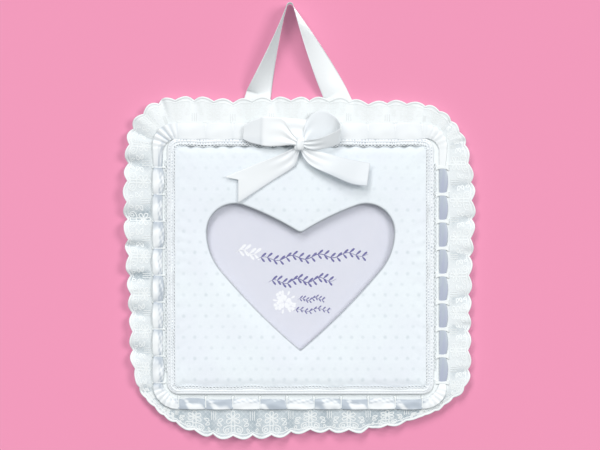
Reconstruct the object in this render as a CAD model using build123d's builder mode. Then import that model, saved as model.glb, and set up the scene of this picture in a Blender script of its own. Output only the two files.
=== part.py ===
"""Wall photo frame with a heart-shaped window.

A padded, fabric-covered panel with a gathered lace ruffle, a ribbon threaded through the lace
heading, a gimp braid, a satin bow and a ribbon loop to hang it by. The print and its clear sheet
slide into a pocket between the boards, from the right-hand side.

Millimetres. +X runs to the viewer's right, +Z up and +Y towards the wall. The origin is the seat of
the hanging loop, where a nail carries it, at the middle of the ribbon's width.
"""

import math
import os

from build123d import *

# Print, clear sheet and the pocket that they slide into
photo_width = 200.0
photo_height = 150.0
photo_thickness = 0.4
window_thickness = 0.5
sheet_gap = 0.15  # play in front of, between and behind the two sheets
edge_play = 0.3  # play between the sheets' edges and the pocket strips
thumb_width = 34.0  # cut-out in the back, to reach the print's edge
thumb_overlap = 12.0  # how far the cut-out reaches over the print

# Heart-shaped window, smaller than the print by a lap all round
side_lap = 6.2
end_lap = 1.65
heart_drop = 11.0  # centre of the heart below the centre of the panel
lobe_radius = 28.0
lobe_sweep = 110.0  # degrees of each lobe that are one round arc
notch_depth = 29.5
notch_round = 3.6
flank_radius = 61.0  # round start of each flank, under its lobe
flank_turn = 40.0  # degrees that it turns before the long run to the tip
tip_round = 1.2

# Padded panel and boards
pad_width = 252.0
pad_height = 242.0
pad_corner = 4.0
pad_thickness = 6.0
pad_edge_round = 4.5
pad_heart_round = 2.2
cover_thickness = 0.5
front_board_thickness = 2.5
back_board_thickness = 2.0
lining_thickness = 0.4
lining_margin = 3.0

# Braid round the pad and the flat rim outside it
gimp_width = 6.5
gimp_thickness = 4.0
gimp_round = 1.6
gimp_gap = 0.3
rim_width = 15.5

# Lace: a flat heading on the rim, gathered into a ruffle beyond the board's edge
lace_thickness = 0.8
heading_lap = 2.5  # how far the heading runs in under the braid
ruffle_reach = 27.0
scallop_pitch = 19.0
scallop_depth = 3.5
scallop_steps = 4
fold_low = -1.0  # height of the free edge over the rim, at the bottom of a fold
fold_high = 7.0
drawn_top_right = 8.5  # how far the free edge is drawn in at a corner
drawn_bottom_right = 19.0
drawn_bottom_left = 19.0
drawn_spread = 0.22  # share of a side, each way from the corner, that is drawn in

# Ribbon threaded through the heading, and the bars across it
beading_width = 8.5
beading_thickness = 0.6
bar_pitch = 28.0
bar_gather = 18.0  # the side bars start this far below the gathered top corners
bar_width = 3.0
bar_length = 12.0
bar_thickness = 0.5

# Hanging ribbon
ribbon_width = 25.0
ribbon_thickness = 0.5
nail_seat_radius = 3.0
loop_height = 92.0  # seat of the loop above the top of the lace
loop_shift = 10.5  # the nail stands this far left of the panel's middle
anchor_spread = 112.0  # between the ribbon's two ends, middle to middle
anchor_height = 15.0  # where that spread is measured, below the board's top edge
end_length = 15.0  # ribbon below that point
end_play = 1.0  # play round the ribbon's ends in the pocket strip
wall_clear = 0.5
bend_clear = 2.0  # the ribbon bends this far above the lace
bend_gap = 0.25
flat_run = 12.0  # the ribbon stays flat this far above its bend, then twists
twist_steps = 4
staple_width = 10.0
staple_wire = 0.6
staple_leg = 1.8

# Satin bow
knot_width = 12.0
knot_height = 15.0
knot_depth = 10.0
knot_corner = 3.0
knot_front_round = 2.4
knot_back_round = 1.2
knot_rise = 1.0  # middle of the knot above the pad's top edge
bow_thickness = 0.5
bow_clear = 0.4  # between the loops and the fabric behind them
pinch_width = 8.0  # ribbon width inside the knot
pinch_out = 3.0  # where a loop's two ends stop inside the knot
pinch_gap = 2.8  # between those two ends
loop_end_radius = 6.75
loop_wrap = 100.0  # degrees of the round end, each way from its furthest point
loop_steps = 8
left_loop_reach = 58.0
left_loop_angle = 167.0
left_loop_width = 26.0
right_loop_reach = 40.0
right_loop_angle = 32.0
right_loop_width = 32.0
# Stations of each tail: right of the knot, above the knot, lift over the fabric, width
left_tail = [(0, -2, 3.0, 8), (-14, -10, 1.8, 16), (-36, -25, 1.2, 24), (-69, -45, 1.0, 27)]
right_tail = [(0, -2, 4.2, 8), (12, -13, 4.0, 16), (32, -23, 7.0, 23), (68, -31, 4.0, 25)]
tail_notch = 11.0  # depth of the V cut in the left tail's end
tail_notch_place = 0.3  # share of the width, from the upper edge, where the V has its point
tail_tip = 0.6  # width left at each of the two tips
stitch_radius = 0.6
stitch_spread = 5.0

# Sizes that follow from the ones above
heart_width = photo_width - 2 * side_lap
heart_height = photo_height - 2 * end_lap
heart_top = heart_height / 2 - heart_drop
pocket_depth = window_thickness + photo_thickness + 3 * sheet_gap
trim_width = cover_thickness + gimp_gap + gimp_width + rim_width
board_width = pad_width + 2 * trim_width
board_height = pad_height + 2 * trim_width
board_corner = pad_corner + trim_width
beading_inset = rim_width / 2
panel_x = loop_shift
panel_z = -(loop_height + ruffle_reach + board_height / 2)
board_top = panel_z + board_height / 2
bend_z = bend_clear - loop_height

# Depths, from the wall towards the viewer
back_y = ribbon_width / 2 + wall_clear
back_board_y = back_y - lining_thickness
pocket_y = back_board_y - back_board_thickness
front_board_y = pocket_y - pocket_depth
board_face_y = front_board_y - front_board_thickness
rim_y = board_face_y - cover_thickness
cover_face_y = board_face_y - pad_thickness - cover_thickness
heading_y = rim_y - lace_thickness
bend_y = front_board_y + ribbon_thickness / 2
knot_y = cover_face_y - bow_clear - bow_thickness / 2 - loop_end_radius


def layer(y):
    """The panel's plane at depth y: x to the right, y up, its normal towards the viewer."""
    return Plane(origin=(panel_x, y, panel_z), x_dir=(1, 0, 0), z_dir=(0, -1, 0))


def panel_outline(inset, mode=Mode.ADD):
    """The board's soft-cornered outline, or the same line further in."""
    corner = board_corner - inset
    RectangleRounded(board_width - 2 * inset, board_height - 2 * inset, corner, mode=mode)


def pad_outline(grow=0.0, mode=Mode.ADD):
    """The pad's outline, or the same line further out."""
    RectangleRounded(pad_width + 2 * grow, pad_height + 2 * grow, pad_corner + grow, mode=mode)


def heart_outline(grow=0.0):
    """The window's outline on the panel's plane, or the same line further out."""
    lobe_level = heart_top - lobe_radius
    notch = (0, heart_top - notch_depth)
    with BuildSketch() as outline:
        with BuildLine():
            lobe = CenterArc((heart_width / 2 - lobe_radius, lobe_level), lobe_radius, 0, lobe_sweep)
            TangentArc(lobe @ 1, notch, tangent=lobe % 1)
            flank = CenterArc((heart_width / 2 - flank_radius, lobe_level), flank_radius, 0, -flank_turn)
            TangentArc(flank @ 1, (0, heart_top - heart_height), tangent=flank % 1)
            mirror(about=Plane.YZ)
        make_face()
        if grow:
            offset(amount=grow, kind=Kind.INTERSECTION)
        fillet(outline.vertices().sort_by(Axis.Y)[0], radius=tip_round + grow)
        fillet(outline.vertices().sort_by_distance(notch)[0], radius=notch_round - grow)
    return outline.sketch


# Hanging ribbon: each strand is tangent to the bend over the nail
seat = Vector(0, 0, -nail_seat_radius)
seat_radius = nail_seat_radius + ribbon_thickness / 2
strands = {}
for name, hand in (("left", -1), ("right", 1)):
    anchor = Vector(panel_x + hand * anchor_spread / 2, bend_y, board_top - anchor_height)
    reach = Vector(anchor.X, 0, anchor.Z) - seat
    leave = math.atan2(reach.Z, reach.X) + hand * math.acos(seat_radius / reach.length)
    top = seat + Vector(math.cos(leave), 0, math.sin(leave)) * seat_radius
    upward = (top - Vector(anchor.X, 0, anchor.Z)).normalized()
    strands[name] = (anchor, top, upward, math.degrees(leave) % 360)


def strand_point(name, z):
    """Middle of a strand at height z, as seen from the front."""
    anchor, top, upward, leave = strands[name]
    return Vector(anchor.X + upward.X / upward.Z * (z - anchor.Z), bend_y, z)


def ribbon_end(name):
    """Outline of one ribbon end, from its bend above the lace down into the panel."""
    anchor, top, upward, leave = strands[name]
    crest = strand_point(name, bend_z - bend_gap) - Vector(panel_x, bend_y, panel_z)
    foot = anchor - upward * end_length - Vector(panel_x, bend_y, panel_z)
    level = ribbon_width / 2 / upward.Z
    square = Vector(upward.Z, 0, -upward.X) * (ribbon_width / 2)
    corners = [crest - Vector(level, 0, 0), crest + Vector(level, 0, 0), foot + square, foot - square]
    Polygon(*[(corner.X, corner.Z) for corner in corners], align=None)


with BuildPart() as hanging_ribbon:
    for name in strands:
        anchor, top, upward, leave = strands[name]
        for z in (bend_z + bend_gap, bend_z + flat_run):
            with BuildSketch(Plane(origin=strand_point(name, z), x_dir=(1, 0, 0), z_dir=(0, 0, 1))):
                Rectangle(ribbon_width / upward.Z, ribbon_thickness)
        start = strand_point(name, bend_z + flat_run)
        flat = Vector(upward.Z, 0, -upward.X)
        for step in range(1, twist_steps + 1):
            share = step / twist_steps
            edge_on = math.sqrt(1 - (1 - share) ** 2)
            middle = start + (top - start) * share
            middle = Vector(middle.X, bend_y * (1 - edge_on), middle.Z)
            across = flat * (1 - share) + Vector(0, 1, 0) * edge_on
            with BuildSketch(Plane(origin=middle, x_dir=across, z_dir=upward)):
                Rectangle(ribbon_width, ribbon_thickness)
        loft(ruled=True)
    first = strands["right"][3]
    sweep = strands["left"][3] - first
    with BuildSketch(Plane.XZ.offset(-ribbon_width / 2)):
        with BuildLine():
            outer = CenterArc((0, seat.Z), nail_seat_radius + ribbon_thickness, first, sweep)
            inner = CenterArc((0, seat.Z), nail_seat_radius, first, sweep)
            Line(outer @ 0, inner @ 0)
            Line(outer @ 1, inner @ 1)
        make_face()
    extrude(amount=ribbon_width)

# Staples through the ribbon's ends, a crown and two legs each
staple_y = front_board_y + ribbon_thickness
with BuildPart() as hanger_staples:
    for name in strands:
        anchor = strands[name][0]
        with BuildSketch(Plane.XZ.offset(-staple_y - staple_wire)):
            with Locations((anchor.X, anchor.Z)):
                Rectangle(staple_width, staple_wire)
        extrude(amount=staple_wire)
        with BuildSketch(Plane.XZ.offset(-staple_y)):
            with Locations((anchor.X, anchor.Z)):
                with GridLocations(staple_width - staple_wire, 0, 2, 1):
                    Rectangle(staple_wire, staple_wire)
        extrude(amount=ribbon_thickness + staple_leg)

with BuildPart() as hanger_end_left:
    with BuildSketch(layer(staple_y)):
        ribbon_end("left")
    extrude(amount=ribbon_thickness)
    add(hanger_staples.part, mode=Mode.SUBTRACT)

with BuildPart() as hanger_end_right:
    with BuildSketch(layer(staple_y)):
        ribbon_end("right")
    extrude(amount=ribbon_thickness)
    add(hanger_staples.part, mode=Mode.SUBTRACT)

# Boards and padding, all with the heart cut out
with BuildPart() as front_board:
    with BuildSketch(layer(front_board_y)):
        panel_outline(0)
        add(heart_outline(cover_thickness), mode=Mode.SUBTRACT)
    extrude(amount=front_board_thickness)
    add(hanger_staples.part, mode=Mode.SUBTRACT)

with BuildPart() as wadding_pad:
    with BuildSketch(layer(board_face_y)):
        pad_outline()
        add(heart_outline(cover_thickness), mode=Mode.SUBTRACT)
    extrude(amount=pad_thickness)
    front = wadding_pad.faces().sort_by(Axis.Y)[0]
    fillet(front.outer_wire().edges(), radius=pad_edge_round)
    front = wadding_pad.faces().sort_by(Axis.Y)[0]
    fillet(front.inner_wires()[0].edges(), radius=pad_heart_round)

# Fabric: over the rim and the pad, and turned in round the window
with BuildPart() as fabric_cover:
    with BuildSketch(layer(board_face_y)):
        panel_outline(0)
    extrude(amount=cover_thickness)
    with BuildSketch(layer(board_face_y)):
        pad_outline(cover_thickness)
    extrude(amount=pad_thickness + cover_thickness)
    with BuildSketch(layer(front_board_y)):
        add(heart_outline(cover_thickness))
    extrude(amount=front_board_thickness)
    with BuildSketch(layer(front_board_y)):
        add(heart_outline())
    extrude(amount=front_board_y - cover_face_y, mode=Mode.SUBTRACT)
    front = fabric_cover.faces().sort_by(Axis.Y)[0]
    fillet(front.outer_wire().edges(), radius=pad_edge_round + cover_thickness)
    front = fabric_cover.faces().sort_by(Axis.Y)[0]
    fillet(front.inner_wires()[0].edges(), radius=pad_heart_round + cover_thickness)
    add(wadding_pad.part, mode=Mode.SUBTRACT)

# Pocket: strips above, below and on the left of the sheets; the right side is the way in
pocket_top = photo_height / 2 + edge_play - heart_drop
pocket_bottom = -photo_height / 2 - edge_play - heart_drop
pocket_left = -photo_width / 2 - edge_play


def pocket_strip(low, high):
    """The part of the board's outline between two corners of a rectangle."""
    panel_outline(0)
    with Locations(low):
        Rectangle(high[0] - low[0], high[1] - low[1], align=(Align.MIN, Align.MIN), mode=Mode.INTERSECT)


with BuildPart() as pocket_strip_top:
    with BuildSketch(layer(pocket_y)):
        pocket_strip((-board_width / 2, pocket_top), (board_width / 2, board_height / 2))
    extrude(amount=pocket_depth)
    for name in strands:
        with BuildSketch(layer(pocket_y)):
            ribbon_end(name)
            offset(amount=end_play)
        extrude(amount=pocket_depth, mode=Mode.SUBTRACT)

with BuildPart() as pocket_strip_bottom:
    with BuildSketch(layer(pocket_y)):
        pocket_strip((-board_width / 2, -board_height / 2), (board_width / 2, pocket_bottom))
    extrude(amount=pocket_depth)

with BuildPart() as pocket_strip_left:
    with BuildSketch(layer(pocket_y)):
        pocket_strip((-board_width / 2, pocket_bottom), (pocket_left, pocket_top))
    extrude(amount=pocket_depth)

with BuildPart() as window_sheet:
    with BuildSketch(layer(front_board_y + sheet_gap + window_thickness)):
        with Locations((0, -heart_drop)):
            Rectangle(photo_width, photo_height)
    extrude(amount=window_thickness)

with BuildPart() as photo_insert:
    with BuildSketch(layer(pocket_y - sheet_gap)):
        with Locations((0, -heart_drop)):
            Rectangle(photo_width, photo_height)
    extrude(amount=photo_thickness)


def thumb_cut():
    """The cut-out that reaches in from the right-hand edge to the print."""
    middle = photo_width / 2 - thumb_overlap + thumb_width / 2
    with Locations((middle, -heart_drop)):
        Circle(thumb_width / 2, mode=Mode.SUBTRACT)
        Rectangle(board_width / 2 - middle, thumb_width, align=(Align.MIN, Align.CENTER), mode=Mode.SUBTRACT)


with BuildPart() as back_board:
    with BuildSketch(layer(back_board_y)):
        panel_outline(0)
        thumb_cut()
    extrude(amount=back_board_thickness)

with BuildPart() as back_lining:
    with BuildSketch(layer(back_y)):
        panel_outline(lining_margin)
        thumb_cut()
    extrude(amount=lining_thickness)

# Lace, one length for each side, from the middle of one corner to the middle of the next
panel_centre = Vector(panel_x, rim_y, panel_z)
heading_width = rim_width + heading_lap
sides = {
    "top": (Vector(1, 0, 0), Vector(0, 0, 1), board_width, board_height),
    "right": (Vector(0, 0, -1), Vector(1, 0, 0), board_height, board_width),
    "bottom": (Vector(-1, 0, 0), Vector(0, 0, -1), board_width, board_height),
    "left": (Vector(0, 0, 1), Vector(-1, 0, 0), board_height, board_width),
}
half_corner = (board_corner + ruffle_reach) * math.pi / 4


def ruffle_plane(side, travel):
    """The plane across the ruffle at a distance along its free edge, clockwise, on the board's edge."""
    along, outward, length, depth = sides[side]
    straight = length - 2 * board_corner
    place = min(max(travel - half_corner, 0), straight)
    turn = math.pi / 4 * (travel - half_corner - place) / half_corner
    out = outward * math.cos(turn) + along * math.sin(turn)
    run = along * math.cos(turn) - outward * math.sin(turn)
    corner = along * (place - straight / 2) + outward * (depth / 2 - board_corner)
    return Plane(origin=panel_centre + corner + out * board_corner, x_dir=out, z_dir=run)


def drawn_in(place):
    """How far the free edge is drawn in; whole numbers are the corners, clockwise from the top left."""
    corner = round(place)
    depth = {1: drawn_top_right, 2: drawn_bottom_right, 3: drawn_bottom_left}.get(corner, 0)
    away = min(abs(place - corner) / drawn_spread, 1)
    return depth * math.cos(math.pi / 2 * away) ** 2


lace = {}
for number, side in enumerate(sides):
    travel_length = sides[side][2] - 2 * board_corner + 2 * half_corner
    scallops = round(travel_length / scallop_pitch)
    stations = scallops * scallop_steps
    with BuildPart() as lace_side:
        for station in range(stations + 1):
            wave = math.pi * station / scallop_steps
            tip_reach = ruffle_reach - scallop_depth * (1 - abs(math.sin(wave)))
            tip_reach -= drawn_in(number + station / stations)
            height = (fold_low + fold_high) / 2 + (fold_high - fold_low) / 2 * math.sin(wave)
            with BuildSketch(ruffle_plane(side, travel_length * station / stations)):
                with BuildLine():
                    Polyline(
                        (-heading_width, 0),
                        (0, 0),
                        (tip_reach, height),
                        (tip_reach, height + lace_thickness),
                        (0, lace_thickness),
                        (-heading_width, lace_thickness),
                        close=True,
                    )
                make_face()
        loft(ruled=True)
    lace[side] = lace_side

# Trim on the rim
with BuildPart() as beading_ribbon:
    with BuildSketch(layer(heading_y)):
        panel_outline(beading_inset - beading_width / 2)
        panel_outline(beading_inset + beading_width / 2, mode=Mode.SUBTRACT)
    extrude(amount=beading_thickness)

bar_run_x = board_width - 2 * board_corner
bar_run_z = board_height - 2 * board_corner - bar_gather
bars_x = round(bar_run_x / bar_pitch)
bars_z = round(bar_run_z / bar_pitch)
with BuildPart() as beading_bars:
    with BuildSketch(layer(heading_y - beading_thickness)):
        with GridLocations(bar_run_x / bars_x, board_height - 2 * beading_inset, bars_x + 1, 2):
            Rectangle(bar_width, bar_length)
        with Locations((0, -bar_gather / 2)):
            with GridLocations(board_width - 2 * beading_inset, bar_run_z / bars_z, 2, bars_z + 1):
                Rectangle(bar_length, bar_width)
    extrude(amount=bar_thickness)

with BuildPart() as gimp_braid:
    with BuildSketch(layer(heading_y)):
        panel_outline(rim_width)
        panel_outline(rim_width + gimp_width, mode=Mode.SUBTRACT)
    extrude(amount=gimp_thickness)
    fillet(gimp_braid.faces().sort_by(Axis.Y)[0].edges(), radius=gimp_round)

# Bow, tied in front of the braid at the top of the pad
knot_centre = Vector(panel_x, knot_y, panel_z + pad_height / 2 + knot_rise)

with BuildPart() as bow_knot:
    with BuildSketch(Plane(origin=knot_centre, x_dir=(1, 0, 0), z_dir=(0, -1, 0))):
        RectangleRounded(knot_width, knot_height, knot_corner)
    extrude(amount=knot_depth / 2, both=True)
    fillet(bow_knot.faces().sort_by(Axis.Y)[0].edges(), radius=knot_front_round)
    fillet(bow_knot.faces().sort_by(Axis.Y)[-1].edges(), radius=knot_back_round)


def bow_loop(reach, angle, width):
    """Planes and widths along a loop: out from the knot in front, round the end and back behind."""
    outward = Vector(1, 0, 0).rotate(Axis.Y, -angle)
    across = Vector(0, 0, 1).rotate(Axis.Y, -angle)
    path = [(pinch_out, pinch_gap / 2)]
    for step in range(loop_steps + 1):
        turn = math.radians(loop_wrap * (1 - 2 * step / loop_steps))
        path.append((reach + loop_end_radius * (math.cos(turn) - 1), loop_end_radius * math.sin(turn)))
    path.append((pinch_out, -pinch_gap / 2))
    middles = [knot_centre + outward * out - Vector(0, rise, 0) for out, rise in path]
    stations = []
    for i, middle in enumerate(middles):
        along = middles[min(i + 1, len(path) - 1)] - middles[max(i - 1, 0)]
        spread = pinch_width + (width - pinch_width) * math.sin(math.pi / 2 * path[i][0] / reach)
        stations.append((Plane(origin=middle, x_dir=across, z_dir=along), spread))
    return stations


def bow_tail(path):
    """Planes and widths along a tail that lies over the fabric."""
    stations = []
    middles = [
        Vector(knot_centre.X + right, cover_face_y - lift - bow_thickness / 2, knot_centre.Z + above)
        for right, above, lift, width in path
    ]
    for i, middle in enumerate(middles):
        along = middles[min(i + 1, len(path) - 1)] - middles[max(i - 1, 0)]
        across = along.cross(Vector(0, -1, 0))
        stations.append((Plane(origin=middle, x_dir=across, z_dir=along), path[i][3]))
    return stations


with BuildPart() as bow_loop_left:
    for plane, width in bow_loop(left_loop_reach, left_loop_angle, left_loop_width):
        with BuildSketch(plane):
            Rectangle(width, bow_thickness)
    loft(ruled=True)
    add(bow_knot.part, mode=Mode.SUBTRACT)

with BuildPart() as bow_loop_right:
    for plane, width in bow_loop(right_loop_reach, right_loop_angle, right_loop_width):
        with BuildSketch(plane):
            Rectangle(width, bow_thickness)
    loft(ruled=True)
    add(bow_knot.part, mode=Mode.SUBTRACT)

with BuildPart() as bow_tail_left:
    for plane, width in bow_tail(left_tail):
        with BuildSketch(plane):
            Rectangle(width, bow_thickness)
    loft(ruled=True)
    add(bow_knot.part, mode=Mode.SUBTRACT)
    with BuildSketch(Plane(origin=plane.origin, x_dir=plane.x_dir, z_dir=plane.y_dir)):
        with BuildLine():
            Polyline(
                (tail_tip - width / 2, 0),
                (width / 2 - tail_tip, 0),
                (width / 2 - tail_notch_place * width, tail_notch),
                close=True,
            )
        make_face()
    extrude(amount=2 * bow_thickness, both=True, mode=Mode.SUBTRACT)

with BuildPart() as bow_tail_right:
    for plane, width in bow_tail(right_tail):
        with BuildSketch(plane):
            Rectangle(width, bow_thickness)
    loft(ruled=True)
    add(bow_knot.part, mode=Mode.SUBTRACT)

stitch_run = heading_y - gimp_thickness - (knot_y + knot_depth / 2)
with BuildPart() as bow_stitches:
    with BuildSketch(layer(heading_y - gimp_thickness)):
        with Locations((0, pad_height / 2 + cover_thickness + gimp_gap + gimp_width / 2)):
            with GridLocations(stitch_spread, 0, 2, 1):
                Circle(stitch_radius)
    extrude(amount=stitch_run)

pieces = {
    "hanging_ribbon": hanging_ribbon,
    "hanger_end_left": hanger_end_left,
    "hanger_end_right": hanger_end_right,
    "hanger_staples": hanger_staples,
    "front_board": front_board,
    "wadding_pad": wadding_pad,
    "fabric_cover": fabric_cover,
    "pocket_strip_top": pocket_strip_top,
    "pocket_strip_bottom": pocket_strip_bottom,
    "pocket_strip_left": pocket_strip_left,
    "window_sheet": window_sheet,
    "photo_insert": photo_insert,
    "back_board": back_board,
    "back_lining": back_lining,
    "lace_ruffle_top": lace["top"],
    "lace_ruffle_right": lace["right"],
    "lace_ruffle_bottom": lace["bottom"],
    "lace_ruffle_left": lace["left"],
    "beading_ribbon": beading_ribbon,
    "beading_bars": beading_bars,
    "gimp_braid": gimp_braid,
    "bow_knot": bow_knot,
    "bow_loop_left": bow_loop_left,
    "bow_loop_right": bow_loop_right,
    "bow_tail_left": bow_tail_left,
    "bow_tail_right": bow_tail_right,
    "bow_stitches": bow_stitches,
}

os.makedirs("parts", exist_ok=True)
for name, piece in pieces.items():
    piece.part.label = name
    export_step(piece.part, f"parts/{name}.step")
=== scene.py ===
"""Dresses the hanging photo frame: padded cloth, lace, threaded ribbon, braid, bow, loop and card.

Every piece sits on the CAD frame, and all but the hanging loop move with one of its bodies. Shapes are
worked out in millimetres and turned into metres when a mesh is made. +X is the viewer's right, +Y is
towards the wall and +Z is up.
"""

import math

import bmesh
import bpy
import numpy as np
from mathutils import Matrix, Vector


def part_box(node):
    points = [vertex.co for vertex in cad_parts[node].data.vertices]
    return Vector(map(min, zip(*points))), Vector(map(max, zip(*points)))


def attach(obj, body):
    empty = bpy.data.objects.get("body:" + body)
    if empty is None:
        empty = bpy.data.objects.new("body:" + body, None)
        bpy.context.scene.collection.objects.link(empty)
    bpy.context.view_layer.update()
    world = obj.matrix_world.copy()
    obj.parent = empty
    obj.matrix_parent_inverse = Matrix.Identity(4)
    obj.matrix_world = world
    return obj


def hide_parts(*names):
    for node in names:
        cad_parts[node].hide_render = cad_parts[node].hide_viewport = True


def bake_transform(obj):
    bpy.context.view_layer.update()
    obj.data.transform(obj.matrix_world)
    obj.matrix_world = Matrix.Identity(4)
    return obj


bl_info = {
    "name": "Heart Window Photo Frame",
    "version": (1, 0, 0),
    "blender": (4, 5, 0),
    "location": "View3D > Sidebar > Photo Frame",
    "description": "Cloth, lace, ribbon and braid for a padded photo frame with a heart-shaped window",
    "category": "Object",
}

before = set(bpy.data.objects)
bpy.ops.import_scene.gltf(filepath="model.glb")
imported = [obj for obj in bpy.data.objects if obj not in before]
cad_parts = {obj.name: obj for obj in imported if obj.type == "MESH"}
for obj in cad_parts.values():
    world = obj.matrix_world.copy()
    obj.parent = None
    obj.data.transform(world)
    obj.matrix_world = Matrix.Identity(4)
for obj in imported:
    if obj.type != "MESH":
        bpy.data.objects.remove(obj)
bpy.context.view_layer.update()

MM = 0.001
TOWARDS_VIEWER = np.array([0.0, -1.0, 0.0])


def extent(node):
    """Lowest and highest corner of a CAD node, in millimetres."""
    low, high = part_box(node)
    return np.array(low) / MM, np.array(high) / MM


board_low, board_high = extent("front_board")
pad_low, pad_high = extent("wadding_pad")
braid_low, braid_high = extent("gimp_braid")
knot_low, knot_high = extent("bow_knot")
card_low, card_high = extent("photo_insert")
panel_x = (board_low[0] + board_high[0]) / 2
panel_z = (board_low[2] + board_high[2]) / 2
half_width = (board_high[0] - board_low[0]) / 2
half_height = (board_high[2] - board_low[2]) / 2
pad_half_width = (pad_high[0] - pad_low[0]) / 2
pad_half_height = (pad_high[2] - pad_low[2]) / 2
cloth_thickness = 0.5
pad_corner = 4.0
board_corner = pad_corner + half_width - pad_half_width
board_face_y = board_low[1]
board_back_y = board_high[1]
rim_y = board_face_y - cloth_thickness
heading_y = braid_high[1]
cover_y = pad_low[1] - cloth_thickness
cover_wide = pad_half_width + cloth_thickness
cover_high = pad_half_height + cloth_thickness
cover_corner = pad_corner + cloth_thickness
braid_inset = half_width - (braid_high[0] - panel_x)
braid_gap = 0.3
braid_width = pad_low[0] - cloth_thickness - braid_gap - braid_low[0]
knot_centre = (knot_low + knot_high) / 2
ruffle_reach = 27.0
heading_width = braid_inset + 2.5
ribbon_middle = -7.0
scallops_per_side = 17
bars_per_side = (10, 9, 10, 9)
bar_gather = 18.0


def length_of(name, words, millimetres, least=0.0):
    """A length that a user may change, given in millimetres."""
    return bpy.props.FloatProperty(
        name=name, description=words, unit="LENGTH", default=millimetres * MM, min=least * MM)


class FrameSizes(bpy.types.PropertyGroup):
    """Sizes of the soft pieces that a user may change."""

    scallop_depth: length_of("Scallop depth", "How far the lace edge dips between two scallops", 4.0)
    fold_height: length_of("Fold height", "Half the height of the ruffle's folds at the free edge", 3.6)
    edge_cord: length_of("Edge cord", "Width of the corded edge of the lace", 2.2, 0.2)
    motif_thread: length_of("Motif thread", "Width of the embroidered lines on the lace", 1.1, 0.2)
    pad_crown: length_of("Pad crown", "How far the wadding swells past the flat pad", 0.6)
    dot_pitch: length_of("Dot pitch", "Distance between the printed dots along a row", 11.2, 1.0)
    dot_row: length_of("Dot rows", "Distance between two rows of dots", 10.6, 1.0)
    ribbon_thickness: length_of("Ribbon thickness", "Thickness of the satin ribbons", 0.3, 0.05)


def shade_of(name, words, colour):
    """A colour that a user may change, given as it looks on screen."""
    return bpy.props.FloatVectorProperty(
        name=name, description=words, subtype="COLOR_GAMMA", size=3, min=0.0, max=1.0, default=colour)


class FrameColours(bpy.types.PropertyGroup):
    """Colours of the frame's cloth, trim, card and boards."""

    cloth: shade_of("Cloth", "Ground of the dotted cotton", (0.946, 0.973, 0.986))
    cloth_wash: shade_of("Cloth wash", "Faint clouds in the cotton's ground", (0.935, 0.953, 0.978))
    cloth_speck: shade_of("Cloth specks", "Faint specks in the cotton's ground", (0.91, 0.935, 0.962))
    dots: shade_of("Dots", "Printed dots on the cotton", (0.85, 0.885, 0.905))
    # Painted shade: the cotton is darkened towards this colour beside the braid, at the window's edge and
    # on its turned-in edges.
    seam: shade_of("Seam", "Cotton where it dips into a seam", (0.52, 0.55, 0.57))
    satin: shade_of("Satin", "Bow, loop and threaded ribbon", (0.98, 0.99, 0.993))
    # Painted shade: the satin in its folds, tucks and shaded sides.
    satin_grey: shade_of("Satin shade", "Satin deep in its folds", (0.72, 0.758, 0.797))
    # Painted shade: the violet-grey that the white ribbon takes on where it lies in shade, as on the
    # threaded ribbon's right side.
    satin_deep: shade_of("Lilac satin", "Threaded ribbon where its lilac side shows", (0.70, 0.725, 0.803))
    satin_slub: shade_of("Satin slub", "Uneven threads of the satin", (0.88, 0.9, 0.93))
    lace: shade_of("Lace", "Thread of the lace", (0.985, 1.0, 1.0))
    lace_ground: shade_of("Lace ground", "Fine net between the threads", (0.98, 0.998, 1.0))
    # Painted shade: the net's colour in the hollows of its folds, in its heading and low on the frame.
    lace_shade: shade_of("Lace shade", "Net in the folds and low on the frame", (0.66, 0.715, 0.745))
    braid: shade_of("Braid", "Gimp braid", (0.975, 0.99, 1.0))
    braid_fuzz: shade_of("Braid fuzz", "Fuzz on the gimp braid", (0.95, 0.96, 0.97))
    # Painted shade: the colour of the shade seen through the braid's holes.
    braid_hole: shade_of("Braid holes", "Small holes in the gimp braid", (0.62, 0.665, 0.72))
    card: shade_of("Card", "Insert card", (0.875, 0.878, 0.92))
    card_fleck: shade_of("Card fleck", "Flecks in the insert card", (0.889, 0.889, 0.928))
    ink: shade_of("Ink", "Vines printed on the card", (0.30, 0.27, 0.56))
    ink_thin: shade_of("Thin ink", "Vines where the ink is thin", (0.36, 0.33, 0.62))
    blossom: shade_of("Blossom", "White flowers printed on the card", (0.99, 0.99, 0.995))
    blossom_thin: shade_of("Thin blossom", "Flowers where the ink is thin", (0.98, 0.98, 0.99))
    film: shade_of("Film", "Clear sheet over the card", (0.95, 0.96, 0.98))
    board: shade_of("Board", "Grey board", (0.70, 0.675, 0.625))
    board_fleck: shade_of("Board fleck", "Flecks in the grey board", (0.62, 0.60, 0.56))
    lining: shade_of("Lining", "Paper on the back", (0.92, 0.915, 0.90))
    lining_fleck: shade_of("Lining fleck", "Flecks in the lining", (0.875, 0.868, 0.85))
    wire: shade_of("Wire", "Staples", (0.72, 0.72, 0.74))
    wire_bright: shade_of("Bright wire", "Bright streaks of the staples", (0.82, 0.82, 0.84))
    wall: shade_of("Wall", "Backdrop", (0.944, 0.599, 0.727))


def unit(vectors):
    """The same directions, one long."""
    return vectors / np.maximum(np.linalg.norm(vectors, axis=-1, keepdims=True), 1e-9)


def ease(value, low, high):
    """0 below low, 1 above high and smooth between them."""
    share = np.clip((value - low) / (high - low), 0.0, 1.0)
    return share * share * (3.0 - 2.0 * share)


def circle(angle):
    """Points of a circle of radius one at these angles."""
    return np.stack([np.cos(angle), np.sin(angle)], axis=-1)


def length_along(line):
    """Distance gone along a line at each of its points."""
    return np.concatenate([[0], np.cumsum(np.linalg.norm(np.diff(line, axis=0), axis=1))])


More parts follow.
